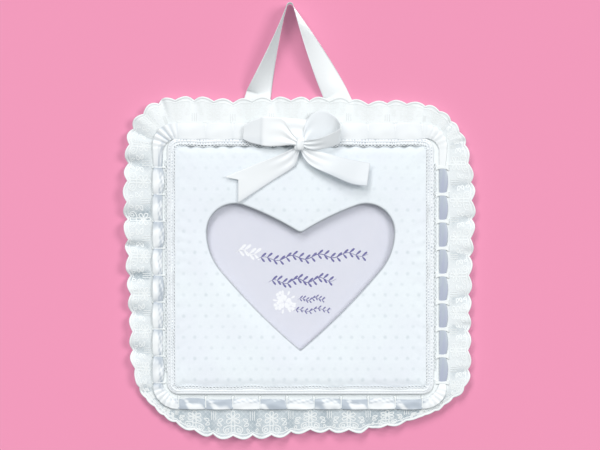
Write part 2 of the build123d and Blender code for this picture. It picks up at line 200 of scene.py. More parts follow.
def points_at(line, places):
    """Points of a line at these distances along it."""
    gone = length_along(line)
    return np.stack([np.interp(places, gone, axis) for axis in line.T], axis=1)


def net_marks(along, across):
    """Marks of a net whose rows and columns lie at these distances."""
    return np.stack(np.meshgrid(along, across, indexing="ij"), axis=2)


def upright(flat, y, middle=(panel_x, panel_z)):
    """Points that stand upright at depth y, at flat places about a middle."""
    y = np.broadcast_to(y, flat.shape[:-1])
    return np.stack([middle[0] + flat[..., 0], y, middle[1] + flat[..., 1]], axis=-1)


def smooth_line(knots, count):
    """A smooth line through the knots, with points evenly far apart."""
    knots = np.asarray(knots, float)
    ends = np.vstack([2 * knots[0] - knots[1], knots, 2 * knots[-1] - knots[-2]])
    share = np.linspace(0, 1, 24, endpoint=False)[:, None]
    runs = []
    for before, start, stop, after in zip(ends[:-3], ends[1:-2], ends[2:-1], ends[3:]):
        runs.append(0.5 * (
            2 * start + (stop - before) * share
            + (2 * before - 5 * start + 4 * stop - after) * share ** 2
            + (3 * start - before - 3 * stop + after) * share ** 3))
    line = np.vstack(runs + [knots[-1:]])
    return points_at(line, np.linspace(0, length_along(line)[-1], count))


def tangent_arc(start, heading, stop, count):
    """Points of the arc that leaves start in the given direction and ends at stop."""
    start, heading, stop = (np.asarray(v, float) for v in (start, heading, stop))
    normal = np.array([-heading[1], heading[0]]) / np.linalg.norm(heading)
    chord = stop - start
    radius = chord @ chord / (2 * (chord @ normal))
    centre = start + normal * radius
    first = math.atan2(*(start - centre)[::-1])
    last = math.atan2(*(stop - centre)[::-1])
    sweep = (last - first + math.pi) % (2 * math.pi) - math.pi
    angle = first + sweep * np.linspace(0, 1, count)
    return centre + abs(radius) * circle(angle)


def heart_line():
    """The window's outline round the panel's middle, from the notch clockwise to the notch."""
    width, height, top = 187.6, 146.7, 62.35
    lobe, flank = 28.0, 61.0
    notch_depth, notch_round, notch_lift = 29.5, 3.6, 0.2
    level = top - lobe
    notch = np.array([0.0, top - notch_depth])
    tip = np.array([0.0, top - height])
    mirror = np.array([-1.0, 1.0])
    turn = np.radians(np.linspace(0, 110, 60))
    round_lobe = np.array([width / 2 - lobe, level]) + lobe * circle(turn)
    inner = tangent_arc(round_lobe[-1], (-math.sin(turn[-1]), math.cos(turn[-1])), notch, 60)
    turn = np.radians(np.linspace(0, -40, 40))
    round_flank = np.array([width / 2 - flank, level]) + flank * circle(turn)
    outer = tangent_arc(round_flank[-1], (math.sin(turn[-1]), -math.cos(turn[-1])), tip, 70)
    right = np.vstack([inner[::-1], round_lobe[::-1][1:], round_flank[1:], outer[1:]])
    right = right[np.linalg.norm(right - notch, axis=1) > notch_round]
    start, control = right[0], notch + np.array([0.0, notch_lift])
    bend = np.linspace(0, 1, 8)[:, None]
    curve = (1 - bend) ** 2 * (start * mirror) + 2 * bend * (1 - bend) * control + bend ** 2 * start
    right = np.vstack([curve[4:], right[1:]])
    return np.vstack([right, right[::-1][1:] * mirror])


def round_box(wide, high, corner, count):
    """A rounded rectangle about the panel's middle, clockwise from its top, as a closed line."""
    turn = np.linspace(0, math.pi / 2, 14)
    centres = ((wide - corner, high - corner), (wide - corner, corner - high),
               (corner - wide, corner - high), (corner - wide, high - corner))
    line = [np.array([[0.0, high]])]
    for quarter, centre in enumerate(centres):
        line.append(np.array(centre) + corner * circle(math.pi / 2 - quarter * math.pi / 2 - turn))
    line = np.vstack(line + [line[0]])
    gone = length_along(line)
    return points_at(line, np.union1d(np.linspace(0, gone[-1], count), gone))


side_along = np.array([[1.0, 0.0], [0.0, -1.0], [-1.0, 0.0], [0.0, 1.0]])
side_out = np.array([[0.0, 1.0], [1.0, 0.0], [0.0, -1.0], [-1.0, 0.0]])
side_length = 2 * np.array([half_width, half_height, half_width, half_height])
side_depth = np.array([half_height, half_width, half_height, half_width])
half_corner = (board_corner + ruffle_reach) * math.pi / 4
side_travel = side_length - 2 * board_corner + 2 * half_corner


def rim_frame(travel):
    """Places on the rim, 0 to 4 clockwise from the middle of the top left corner, one unit a side.

    Gives the corners' centres and the line between them, and the directions outwards and along."""
    travel = np.asarray(travel, float)
    side = np.floor(travel).astype(int) % 4
    share = travel - np.floor(travel)
    straight = side_length[side] - 2 * board_corner
    gone = share * side_travel[side]
    run = np.clip(gone - half_corner, 0, straight)
    turn = (math.pi / 4 * (gone - half_corner - run) / half_corner)[..., None]
    outward = side_out[side] * np.cos(turn) + side_along[side] * np.sin(turn)
    onward = side_along[side] * np.cos(turn) - side_out[side] * np.sin(turn)
    base = (side_along[side] * (run - straight / 2)[..., None]
            + side_out[side] * (side_depth[side] - board_corner)[..., None])
    return base, outward, onward


def rim_place(travel, out, y):
    """Points at a distance outside the board's edge and at depth y."""
    base, outward, _ = rim_frame(travel)
    return upright(base + outward * (board_corner + np.asarray(out, float))[..., None], y)


def by_side(travel, sides, corners=None):
    """A value for the top, right, bottom and left, with its own at the corners from the top left on."""
    corners = corners or [(sides[number - 1] + sides[number]) / 2 for number in range(4)]
    blend = 0.14
    stops, values = [], []
    for side in range(4):
        stops += [side, side + blend, side + 1 - blend]
        values += [corners[side], sides[side], sides[side]]
    return np.interp(np.asarray(travel, float) % 4, stops + [4], values + [corners[0]])


def even_travel(out, count):
    """Travels of evenly spaced points at a distance outside the board's edge, and their line's length."""
    fine = np.linspace(0, 4, 4001)
    gone = length_along(rim_place(fine, out, 0.0))
    return np.interp(np.linspace(0, gone[-1], count, endpoint=False), gone, fine), gone[-1]


class Cloth:
    """Points and faces of one piece, in millimetres, gathered from sheets and cords."""

    def __init__(self):
        self.points = []
        self.faces = []
        self.marks = []
        self.tones = []
        self.total = 0

    def grid(self, points, marks=None, tones=0.0, wrap=(False, False)):
        """A net of quads over rows and columns of points, closed on itself where wrap says so."""
        rows, columns = points.shape[:2]
        index = np.arange(rows * columns).reshape(rows, columns)
        down = np.arange(rows + int(wrap[0]))
        right = np.arange(columns + int(wrap[1]))
        if marks is None:
            marks = np.zeros((down.size, right.size, 2))
        index = index[np.ix_(down % rows, right % columns)]

        def corners(values):
            return np.stack([values[:-1, :-1], values[:-1, 1:], values[1:, 1:], values[1:, :-1]], axis=2)

        self.points.append(points.reshape(-1, 3))
        self.faces.append(corners(index).reshape(-1, 4) + self.total)
        self.marks.append(corners(marks).reshape(-1, 2))
        self.tones.append(np.broadcast_to(tones, points.shape[:-1]).reshape(-1))
        self.total += rows * columns

    def sheet(self, points, thickness, marks, tones=0.0, wrap=False):
        """A sheet with two sides, from rows that run along it and columns across it."""
        along = np.gradient(points, axis=0)
        if wrap:
            along = (np.roll(points, -1, axis=0) - np.roll(points, 1, axis=0)) / 2
        normal = unit(np.cross(along, np.gradient(points, axis=1)))
        front = points + normal * thickness / 2
        back = points - normal * thickness / 2
        both = np.concatenate([front, back[:, ::-1]], axis=1)
        tones = np.broadcast_to(tones, points.shape[:2])
        tones = np.concatenate([tones, tones[:, ::-1]], axis=1)
        round_marks = np.concatenate([marks, marks[:, ::-1], marks[:, :1]], axis=1)
        start = self.total
        self.grid(both, round_marks, tones, wrap=(wrap, True))
        if wrap:
            return
        rows, columns = points.shape[:2]
        for row in (0, rows - 1):
            first = start + row * 2 * columns + np.arange(columns - 1)
            last = start + row * 2 * columns + 2 * columns - 1 - np.arange(columns - 1)
            self.faces.append(np.stack([first, first + 1, last - 1, last], axis=1))
            ends = np.stack([marks[row, :-1], marks[row, 1:], marks[row, 1:], marks[row, :-1]], axis=1)
            self.marks.append(ends.reshape(-1, 2))

    def cords(self, paths, up, width, depth, closed=False, sides=6, tones=0.0):
        """Cords along many paths of as many points; up points away from what they lie on."""
        paths = np.asarray(paths, float)
        ahead = np.gradient(paths, axis=1)
        if closed:
            ahead = np.roll(paths, -1, axis=1) - np.roll(paths, 1, axis=1)
        ahead = unit(ahead)
        side = unit(np.cross(ahead, np.broadcast_to(up, paths.shape)))
        lift = np.cross(side, ahead)
        angle = np.arange(sides) * 2 * math.pi / sides
        half = np.broadcast_to(np.asarray(width, float) / 2, paths.shape[:2])[..., None, None]
        high = np.broadcast_to(np.asarray(depth, float) / 2, paths.shape[:2])[..., None, None]
        rings = (paths[:, :, None] + side[:, :, None] * half * np.cos(angle)[:, None]
                 + lift[:, :, None] * high * np.sin(angle)[:, None])
        for path, rings_of_one in zip(paths, rings):
            rows = length_along(path)
            if closed:
                rows = np.append(rows, rows[-1] + rows[1])
            marks = net_marks(rows, np.arange(sides + 1) / sides)
            start = self.total
            self.grid(rings_of_one, marks, tones, wrap=(closed, True))
            if closed:
                continue
            for row, order in ((0, 1), (len(rows) - 1, -1)):
                ring = start + row * sides + np.arange(sides)[::order]
                fan = np.stack([np.full(sides - 2, ring[0]), ring[1:-1], ring[2:]], axis=1)
                self.faces.append(fan)
                self.marks.append(np.zeros((fan.size, 2)))

    def make(self, name, finish, sharp=False):
        """The mesh object, in metres, with its marks as UVs and its tones as an attribute."""
        mesh = bpy.data.meshes.new(name)
        points = np.concatenate(self.points) * MM
        faces = [face for block in self.faces for face in block.tolist()]
        mesh.from_pydata(points.tolist(), [], faces)
        layer = mesh.uv_layers.new(name="UVMap")
        layer.data.foreach_set("uv", (np.concatenate(self.marks) * MM).astype(np.float32).ravel())
        tone = mesh.attributes.new("tone", "FLOAT", "POINT")
        tone.data.foreach_set("value", np.concatenate(self.tones).astype(np.float32))
        body = bmesh.new()
        body.from_mesh(mesh)
        bmesh.ops.recalc_face_normals(body, faces=body.faces)
        body.to_mesh(mesh)
        body.free()
        mesh.polygons.foreach_set("use_smooth", np.full(len(mesh.polygons), not sharp))
        mesh.materials.append(finish)
        mesh.update()
        piece = bpy.data.objects.new(name, mesh)
        bpy.context.scene.collection.objects.link(piece)
        return piece


def place(piece, slot, *nodes, body="frame"):
    """Gives the piece the CAD nodes that it stands for and the body that it rides on; slot is not used."""
    if nodes:
        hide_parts(*nodes)
    if body:
        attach(piece, body)
    return piece


def coat(node, finish):
    """Gives a CAD node that shows as it is its finish."""
    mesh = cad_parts[node].data
    mesh.materials.clear()
    mesh.materials.append(finish)


class Wire:
    """A value in a material; sums with it add Math nodes."""

    def __init__(self, finish, socket):
        self.finish = finish
        self.socket = socket

    def _sum(self, operation, first, second):
        return self.finish.node("ShaderNodeMath", {"operation": operation}, {0: first, 1: second})

    def __add__(self, other):
        return self._sum("ADD", self, other)

    def __radd__(self, other):
        return self._sum("ADD", other, self)

    def __sub__(self, other):
        return self._sum("SUBTRACT", self, other)

    def __rsub__(self, other):
        return self._sum("SUBTRACT", other, self)

    def __mul__(self, other):
        return self._sum("MULTIPLY", self, other)

    def __rmul__(self, other):
        return self._sum("MULTIPLY", other, self)

    def __truediv__(self, other):
        return self._sum("DIVIDE", self, other)

    def __mod__(self, other):
        return self._sum("FLOORED_MODULO", self, other)

    def __pow__(self, other):
        return self._sum("POWER", self, other)

    def sine(self):
        """Its sine, in radians."""
        return self._sum("SINE", self, 0.0)

    def whole(self):
        """The whole number below it."""
        return self._sum("FLOOR", self, 0.0)

    def between(self, low, high):
        """0 below low, 1 above high and smooth between them."""
        settings = {"interpolation_type": "SMOOTHSTEP"}
        return self.finish.node("ShaderNodeMapRange", settings, {0: self, 1: low, 2: high})


class Finish:
    """One material and its nodes."""

    def __init__(self, name):
        self.material = bpy.data.materials.new(name)
        self.material.use_nodes = True
        self.tree = self.material.node_tree
        self.tree.nodes.clear()

    def node(self, kind, settings=None, sockets=None, output=0):
        """A node of that kind: its settings first, then the values or links of its sockets."""
        node = self.tree.nodes.new(kind)
        for name, value in (settings or {}).items():
            setattr(node, name, value)
        for name, value in (sockets or {}).items():
            if isinstance(value, Wire):
                self.tree.links.new(value.socket, node.inputs[name])
            else:
                node.inputs[name].default_value = value
        return Wire(self, node.outputs[output]) if node.outputs else None

    def axes(self, vector):
        """The three numbers of a vector."""
        first = self.node("ShaderNodeSeparateXYZ", None, {0: vector})
        return [Wire(self, socket) for socket in first.socket.node.outputs]

    def places(self):
        """Place on the object, in metres."""
        return self.node("ShaderNodeTexCoord", None, None, "Object")

    def marks(self):
        """Place on the cloth: along it and across it, in metres."""
        return self.node("ShaderNodeTexCoord", None, None, "UV")

    def tone(self):
        """The painted shade that the mesh carries from point to point."""
        return self.node("ShaderNodeAttribute", {"attribute_name": "tone"}, None, "Fac")

    def grain(self, where, scale, detail=2.0):
        """Fine uneven grain, from 0 to 1."""
        return self.node("ShaderNodeTexNoise", None, {"Vector": where, "Scale": scale, "Detail": detail})

    def mix(self, share, first, second):
        """One colour where share is 0 and the other where it is 1."""
        settings = {"data_type": "RGBA"}
        return self.node("ShaderNodeMix", settings, {0: share, 6: first, 7: second}, 2)

    def bump(self, height, strength, distance):
        """A normal for relief of this height."""
        sockets = {"Height": height, "Strength": strength, "Distance": distance}
        return self.node("ShaderNodeBump", None, sockets)

    def surface(self, sockets):
        """Ends the material in a surface with these sockets, and gives the material."""
        shader = self.node("ShaderNodeBsdfPrincipled", None, sockets)
        self.node("ShaderNodeOutputMaterial", None, {"Surface": shader})
        return self.material


def linear(colour):
    """A colour as seen on screen, as the shader takes it."""
    parts = [c / 12.92 if c <= 0.04045 else ((c + 0.055) / 1.055) ** 2.4 for c in colour]
    return (*parts, 1.0)


def sizes():
    """The sizes a user may change."""
    return bpy.context.scene.photo_frame_sizes


def colours():
    """The colours a user may change, as the shader takes them."""
    group = bpy.context.scene.photo_frame_colours
    return {name: linear(getattr(group, name)) for name in FrameColours.__annotations__}


def cotton_finish():
    """White cotton with rows of small pale printed dots and a plain weave, with painted shade where its
    tone is high and painted light that fades the dots towards the top.
    """
    paint = colours()
    finish = Finish("dotted_cotton")
    place_on = finish.places()
    x, _, z = finish.axes(place_on)
    pitch, row_height = sizes().dot_pitch, sizes().dot_row
    row = (z / row_height).whole()
    odd = row % 2.0
    across = (x / pitch + odd * 0.5) % 1.0 - 0.5
    above = (z / row_height) % 1.0 - 0.5
    blot = finish.grain(place_on, 1100.0)
    distance = (across * across * (pitch * pitch) + above * above * (row_height * row_height)) ** 0.5
    dot = 1.0 - (distance / MM + blot * 1.6).between(1.3, 3.6)
    faint = finish.grain(place_on, 55.0).between(0.3, 0.7)
    # Painted light: the dots fade to half strength towards the top, where the light washes them out.
    dot_glare_fade = 1.0 - z.between(-0.25, -0.15) * 0.5
    dot = dot * (0.85 - odd * 0.3) * (faint * 0.65 + 0.35) * dot_glare_fade
    wander = finish.grain(place_on, 16.0, 3.0)
    ground = finish.mix(wander.between(0.3, 0.75), paint["cloth"], paint["cloth_wash"])
    speckle = finish.grain(place_on, 300.0, 3.0).between(0.35, 0.75)
    ground = finish.mix(speckle * 0.3, ground, paint["cloth_speck"])
    colour = finish.mix(dot, ground, paint["dots"])
    # Painted shade: the tone darkens the cotton towards its shade colour.
    tone = finish.tone()
    colour = finish.mix(tone, colour, paint["seam"])
    weave = (x * 7400.0).sine() * (z * 7400.0).sine()
    relief = weave * 0.5 + finish.grain(place_on, 420.0) * 1.2 - dot * 0.6
    return finish.surface({
        "Base Color": colour, "Roughness": 0.82, "Sheen Weight": 0.15, "Sheen Roughness": 0.6,
        "Normal": finish.bump(relief, 0.22, 0.0004)})


def satin_finish():
    """White satin ribbon: soft gloss, fine threads along it and ribs across, with painted shade, grey and
    then violet-grey, where its tone is high.
    """
    paint = colours()
    finish = Finish("white_satin")
    mark = finish.marks()
    along, across, _ = finish.axes(mark)
    tone = finish.tone()
    threads = (across * 24000.0).sine()
    stretched = finish.node("ShaderNodeMapping", None, {"Vector": mark, "Scale": (120.0, 2600.0, 1.0)})
    slub = finish.grain(stretched, 1.0)
    # Painted shade: the tone darkens the satin to grey and then to violet-grey.
    colour = finish.mix(tone.between(0.0, 0.6), paint["satin"], paint["satin_grey"])
    colour = finish.mix(tone.between(0.6, 1.0), colour, paint["satin_deep"])
    colour = finish.mix(slub * 0.1, colour, paint["satin_slub"])
    ribs = (along * 9000.0).sine() * 0.3
    return finish.surface({
        "Base Color": colour, "Roughness": slub * 0.12 + 0.3, "Sheen Weight": 0.2, "Sheen Roughness": 0.35,
        "Normal": finish.bump(threads * 0.5 + ribs + slub, 0.06, 0.0002)})


def lace_finish():
    """Fine net with a faint trellis, and painted shade where its tone is high."""
    paint = colours()
    finish = Finish("lace_net")
    mark = finish.marks()
    along, across, _ = finish.axes(mark)
    net = finish.node("ShaderNodeTexVoronoi", {"feature": "DISTANCE_TO_EDGE"}, {
        "Vector": mark, "Scale": 700.0, "Randomness": 0.35})
    thread = 1.0 - net.between(0.06, 0.22)
    trellis = 0.0
    for hand in (-1.0, 1.0):
        line = ((along + across * hand) * 700.0).sine()
        trellis = (line * line).between(0.88, 1.0) + trellis
    cloudy = finish.grain(mark, 150.0, 3.0).between(0.35, 0.7)
    white = (thread * 0.25 + trellis * 0.25 + cloudy * 0.2).between(0.0, 1.0)
    # Painted shade: the tone darkens the net towards its shade colour.
    tone = finish.tone()
    ground = finish.mix(tone, paint["lace_ground"], paint["lace_shade"])
    colour = finish.mix(white * 0.7, ground, paint["lace"])
    return finish.surface({
        "Base Color": colour, "Roughness": 0.75, "Sheen Weight": 0.1,
        "Alpha": thread * 0.04 + 0.96, "Normal": finish.bump(thread + cloudy, 0.05, 0.0003)})


def thread_finish(name, shade, pitch):
    """Twisted thread in a colour of the frame, its turns this many millimetres apart, with painted shade
    between the turns and where its tone is high.
    """
    tint = getattr(bpy.context.scene.photo_frame_colours, shade)
    finish = Finish(name)
    along, around, _ = finish.axes(finish.marks())
    turns = ((along / (pitch * MM) + around / MM) * (2 * math.pi)).sine()
    fuzz = finish.grain(finish.places(), 1500.0)
    twist_shading = turns.between(-1.0, 0.2)
    tone = finish.tone()
    # Painted shade: 5% darker between the turns, and up to 16% darker where the tone is high.
    colour = finish.mix(twist_shading * 0.55 + fuzz * 0.45, linear([c * 0.95 for c in tint]), linear(tint))
    colour = finish.mix(tone, colour, linear([c * 0.84 for c in tint]))
    return finish.surface({
        "Base Color": colour, "Roughness": 0.6, "Sheen Weight": 0.15,
        "Normal": finish.bump(turns * 0.6 + fuzz, 0.12, 0.0003)})


def gimp_finish():
    """White woven tape with fine ribs across it and two rows of small holes, not cut but painted dark as
    the shade seen through them.
    """
    paint = colours()
    finish = Finish("gimp_tape")
    along, across, _ = finish.axes(finish.marks())
    place_on = finish.places()
    along = along + (finish.grain(place_on, 170.0) - 0.5) * (5.0 * MM)
    across = across + (finish.grain(place_on, 230.0) - 0.5) * (1.6 * MM)
    holes = 0.0
    for row, pitch, size in ((2.05 * MM, 3.3 * MM, 1.25 * MM), (4.85 * MM, 2.7 * MM, 1.1 * MM)):
        beside = ((along / pitch) % 1.0 - 0.5) * pitch
        above = across - row
        away = (beside * beside + above * above) ** 0.5
        holes = 1.0 - away.between(0.35 * MM, size) + holes
    # The painted hole shade varies at random along the braid, and by side through the tone.
    uneven_holes = finish.grain(place_on, 120.0).between(0.35, 0.6)
    tone = finish.tone()
    holes = holes * (uneven_holes * 0.75 + 0.25) * tone
    ribs = (along * 5200.0).sine()
    fuzz = finish.grain(place_on, 1300.0)
    colour = finish.mix(fuzz * 0.4, paint["braid"], paint["braid_fuzz"])
    colour = finish.mix(holes * 0.7, colour, paint["braid_hole"])
    return finish.surface({
        "Base Color": colour, "Roughness": 0.65, "Sheen Weight": 0.15,
        "Normal": finish.bump(ribs * 0.4 + fuzz - holes * 2.0, 0.15, 0.0003)})


def paper_finish(name, shade, scale, roughness):
    """Paper or board in a colour of the frame, with fibres and faint flecks."""
    paint = colours()
    finish = Finish(name)
    place_on = finish.places()
    fibre = finish.grain(place_on, scale, 4.0)
    cloud = finish.grain(place_on, 40.0, 2.0)
    flecks = (fibre * 0.6 + cloud * 0.4).between(0.35, 0.7)
    colour = finish.mix(flecks, paint[shade], paint[f"{shade}_fleck"])
    return finish.surface({
        "Base Color": colour, "Roughness": fibre * 0.1 + roughness,
        "Normal": finish.bump(fibre, 0.15, 0.0002)})


def steel_finish():
    """Bright drawn wire."""
    paint = colours()
    finish = Finish("staple_wire")
    streak = finish.grain(finish.places(), 2400.0)
    colour = finish.mix(streak, paint["wire"], paint["wire_bright"])
    return finish.surface({
        "Base Color": colour, "Metallic": 1.0, "Roughness": streak * 0.15 + 0.25})


def clear_finish():
    """Clear film that shows the card behind it."""
    finish = Finish("clear_film")
    haze = finish.grain(finish.places(), 30.0)
    return finish.surface({
        "Base Color": colours()["film"], "Roughness": haze * 0.06 + 0.06,
        "IOR": 1.45, "Alpha": haze * 0.02 + 0.05})


def ink_finish(name, shade):
    """Printing ink in a colour of the frame, thinner in places."""
    paint = colours()
    finish = Finish(name)
    spread = finish.grain(finish.places(), 700.0)
    colour = finish.mix(spread, paint[shade], paint[f"{shade}_thin"])
    return finish.surface({"Base Color": colour, "Roughness": spread * 0.1 + 0.5})


# Travels round the rim at which gathers pull the lace's edge, and how far in they draw it.
gather_places = (
    0.0, 0.2, 0.3, 0.36, 0.64, 0.71, 0.78, 0.95, 1.05, 1.16, 1.25, 1.35, 1.48, 1.65, 1.86, 1.94,
    2.04, 2.14, 2.27, 2.32, 2.48, 2.58, 2.72, 2.8, 2.88, 2.96, 3.06, 3.15, 3.32, 3.58, 3.72, 3.88)
gather_depths = (
    0.0, 1.0, 4.0, 1.0, 1.5, 6.0, 4.0, -1.0, 1.0, 4.0, 1.0, 0.5, 3.5, 5.0, 5.0, 7.5,
    2.5, 8.0, 8.5, 3.5, 4.0, -2.0, -3.0, 0.0, 3.5, 0.0, 0.0, 5.0, 4.5, -0.5, -2.0, 0.5)


def drawn_in(travel):
    """How far the ruffle's edge is drawn in, at the corners and where its gathers pull it."""
    travel = np.asarray(travel, float)
    amount = np.zeros(travel.shape)
    for corner, depth, spread in ((0.99, 11.5, 0.24), (2.04, 19.0, 0.22), (3.0, 19.0, 0.23)):
        away = np.abs((travel - corner + 2) % 4 - 2)
        amount = np.maximum(amount, depth * np.cos(math.pi / 2 * np.clip(away / spread, 0, 1)) ** 2)
    return amount + np.interp(travel, gather_places, gather_depths, period=4)


def lace_reach(travel):
    """How far the scalloped edge stands out from the board's edge."""
    drawn = drawn_in(travel)
    dip = 1 - np.abs(np.sin(math.pi * scallops_per_side * np.asarray(travel)))
    deepest = 19.0
    depth = sizes().scallop_depth / MM * np.clip(1 - 0.75 * drawn / deepest, 0.2, 1.0)
    return ruffle_reach - drawn - depth * dip


def fold_phase(travel):
    """Phase of the ruffle's folds: a hollow about every second scallop, and set one by one on the left."""
    loose = [scallop + 0.2 * math.sin(1.9 * scallop) for scallop in range(1, 4 * scallops_per_side - 18, 2)]
    on_left = [52.5, 55.0, 57.0, 58.9, 60.6, 62.0, 65.0, 66.8]
    hollows = np.array(loose + on_left) / scallops_per_side
    hollows = np.concatenate([hollows[-2:] - 4, hollows, hollows[:2] + 4])
    return 2 * math.pi * np.interp(travel, hollows, np.arange(hollows.size)) - math.pi / 2


def hollow_share(travel):
    """1 in the hollow of a fold and 0 on its crest."""
    return 0.5 - 0.5 * np.sin(fold_phase(travel))


def lace_place(travel, out):
    """Points of the ruffle, at a distance outside the board's edge before it is folded."""
    travel, out = np.broadcast_arrays(np.asarray(travel, float), np.asarray(out, float))
    share = np.clip(out / ruffle_reach, 0, 1)
    around = math.pi / 2 * travel
    wave = fold_phase(travel)
    deep = by_side(travel, (0.5, 0.6, 0.6, 1.1), (0.75, 0.6, 0.65, 0.8))
    rise = by_side(travel, (1.6, 2.4, 0.6, 3.0), (2.4, 2.2, 1.6, 1.5))
    fold = sizes().fold_height / MM * deep
    gather = 0.55 * np.sin(2 * wave + 1.1) * share * (1.3 - share) * deep
    ripple = 0.35 * np.sin(3.0 * wave + 3 * np.sin(7 * around)) * share
    height = 0.45 + share ** 1.25 * (rise + fold * (1 - 2 * hollow_share(travel) ** 2)) + gather + ripple
    steep = by_side(travel, (1.2, 1.5, 1.2, 1.6), (1.6, 1.5, 1.2, 1.4))
    steep = steep * (0.85 + 0.35 * np.sin(9 * around + 0.4))
    shift = -share * steep * np.cos(wave)
    base, outward, onward = rim_frame(travel)
    flat = base + outward * (board_corner + out)[..., None] + onward * shift[..., None]
    return upright(flat, rim_y - height)


def lace_normal(travel, out):
    """Directions that point out of the lace's front."""
    step, side_run = 0.4, 320
    along = lace_place(travel + step / side_run, out) - lace_place(travel - step / side_run, out)
    across = lace_place(travel, out + step) - lace_place(travel, out - step)
    normal = unit(np.cross(along, across))
    return normal * np.where(normal[..., 1:2] > 0, -1.0, 1.0)


def on_lace(middle, along, out, lift):
    """Lines on the lace: along in millimetres from each middle, out from the board's edge."""
    side = np.floor(middle).astype(int) % 4
    travel = middle[:, None] + along / side_travel[side][:, None]
    out = out * ((ruffle_reach - drawn_in(travel)) / ruffle_reach)
    normal = lace_normal(travel, out)
    return lace_place(travel, out) + normal * lift, normal


def spoke_end(centre, heading, length):
    """The place at a distance from a centre, in a heading, degrees from straight out or up."""
    angle = math.radians(heading)
    return centre[0] + length * math.sin(angle), centre[1] + length * math.cos(angle)


def petal(length, width, heading, start):
    """A closed drop-shaped line that leaves start in a heading, degrees from straight out or up."""
    count = 16
    turn = np.arange(count) * 2 * math.pi / count
    far = 0.5 - 0.5 * np.cos(turn)
    side = width / 2 * np.sin(turn) * (0.45 + 0.75 * far)
    angle = math.radians(heading)
    along = start[0] + length * far * math.sin(angle) + side * math.cos(angle)
    out = start[1] + length * far * math.cos(angle) - side * math.sin(angle)
    return along, out


def motif_lines():
    """Closed lines of one embroidered spray: a six-petalled flower, two scrolls and their leaves."""
    lines = []
    for spoke in range(6):
        lines.append(petal(5.6, 3.8, 60 * spoke, spoke_end((0.0, 8.2), 60 * spoke, 1.3)))
    lines.append(petal(2.0, 2.0, 0, (0.0, 7.2)))
    for hand in (-1, 1):
        for length, width, heading, along, out in (
                (8.4, 8.4, 38, 1.8, 14.6), (3.6, 3.2, 38, 4.0, 17.2), (5.0, 3.0, 70, 9.6, 9.0),
                (4.6, 3.0, 112, 10.6, 15.0), (3.6, 2.6, 20, 13.6, 17.4)):
            lines.append(petal(length, width, hand * heading, (hand * along, out)))
    return lines


def lace_tones(travel, out, reach):
    """Painted shade of the net: by side, in the hollows of its folds and in its heading."""
    turn = ((fold_phase(travel) + math.pi / 2) / (2 * math.pi))[:, None]
    slant = 0.16 * np.sin(2.6 * np.floor(turn + 0.5)) * (out / ruffle_reach - 0.5)
    since = (turn + slant) % 1.0
    valley = np.maximum((1 - ease(since, 0.0, 0.42)) ** 1.5, ease(since, 0.86, 1.0))
    # Painted shade by side, darkest along the bottom and lighter near the scalloped edge.
    shade = by_side(travel, (0.0, 0.22, 0.8, 0.34), (0.12, 0.14, 0.74, 0.7))
    # Painted shadow under the ribbon's lifted corner at the bottom right.
    shade = shade + 0.45 * np.clip(1 - np.abs(travel - 2.2) / 0.12, 0, 1)
    # Painted shade in the hollows of the folds, strongest in two folds on the left.
    crease = by_side(travel, (0.05, 0.4, 0.2, 0.38), (0.2, 0.2, 0.2, 0.3))
    for strong in (3.465, 3.647):
        crease = crease + 0.6 * np.exp(-((travel - strong) / 0.04) ** 2)
    crease = crease[:, None] * (1.2 - 0.4 * out / ruffle_reach)
    rim = ease(reach[:, None] - out, 0.5, 6.0)
    tones = shade[:, None] * (0.45 + 0.55 * rim) + crease * valley * ease(out, -1.0, 5.0)
    # Painted shade along the heading.
    heading = by_side(travel, (0.0, 0.05, 0.1, 0.05))[:, None] * ease(-out, 8.0, 11.0)
    return tones * ease(out, -2.0, 1.0) + heading


def lace_net(travel, reach):
    """The net, from its flat heading to the scalloped edge."""
    heading = np.array([-heading_width, -braid_inset, -11.0, -6.0, -2.0, 0.0])
    frill = reach[:, None] * np.linspace(0, 1, 20)[1:]
    out = np.concatenate([np.repeat(heading[None], travel.size, axis=0), frill], axis=1)
    steps = travel.size // 4
    gone = np.cumsum(np.append(0, np.repeat(side_travel / steps, steps)))
    wide = np.concatenate([out, out[:1]], axis=0)
    marks = np.stack([np.broadcast_to(gone[:, None], wide.shape), wide], axis=2)
    net = Cloth()
    net.grid(lace_place(travel[:, None], out), marks, lace_tones(travel, out, reach), wrap=(True, False))
    return place(net.make("lace_ruffle", lace_finish()), "lace",
                 "lace_ruffle_top", "lace_ruffle_right", "lace_ruffle_bottom", "lace_ruffle_left")


def lace_edging(travel, reach):
    """The cord along the scalloped edge."""
    cord = sizes().edge_cord / MM
    edge = reach - cord / 2 + 0.2
    edging = Cloth()
    up = lace_normal(travel, edge)[None]
    edging.cords([lace_place(travel, edge)], up, cord, 0.9, closed=True, sides=8)
    return place(edging.make("lace_edge_cord", thread_finish("lace_cord", "lace", 1.1)), "lace")


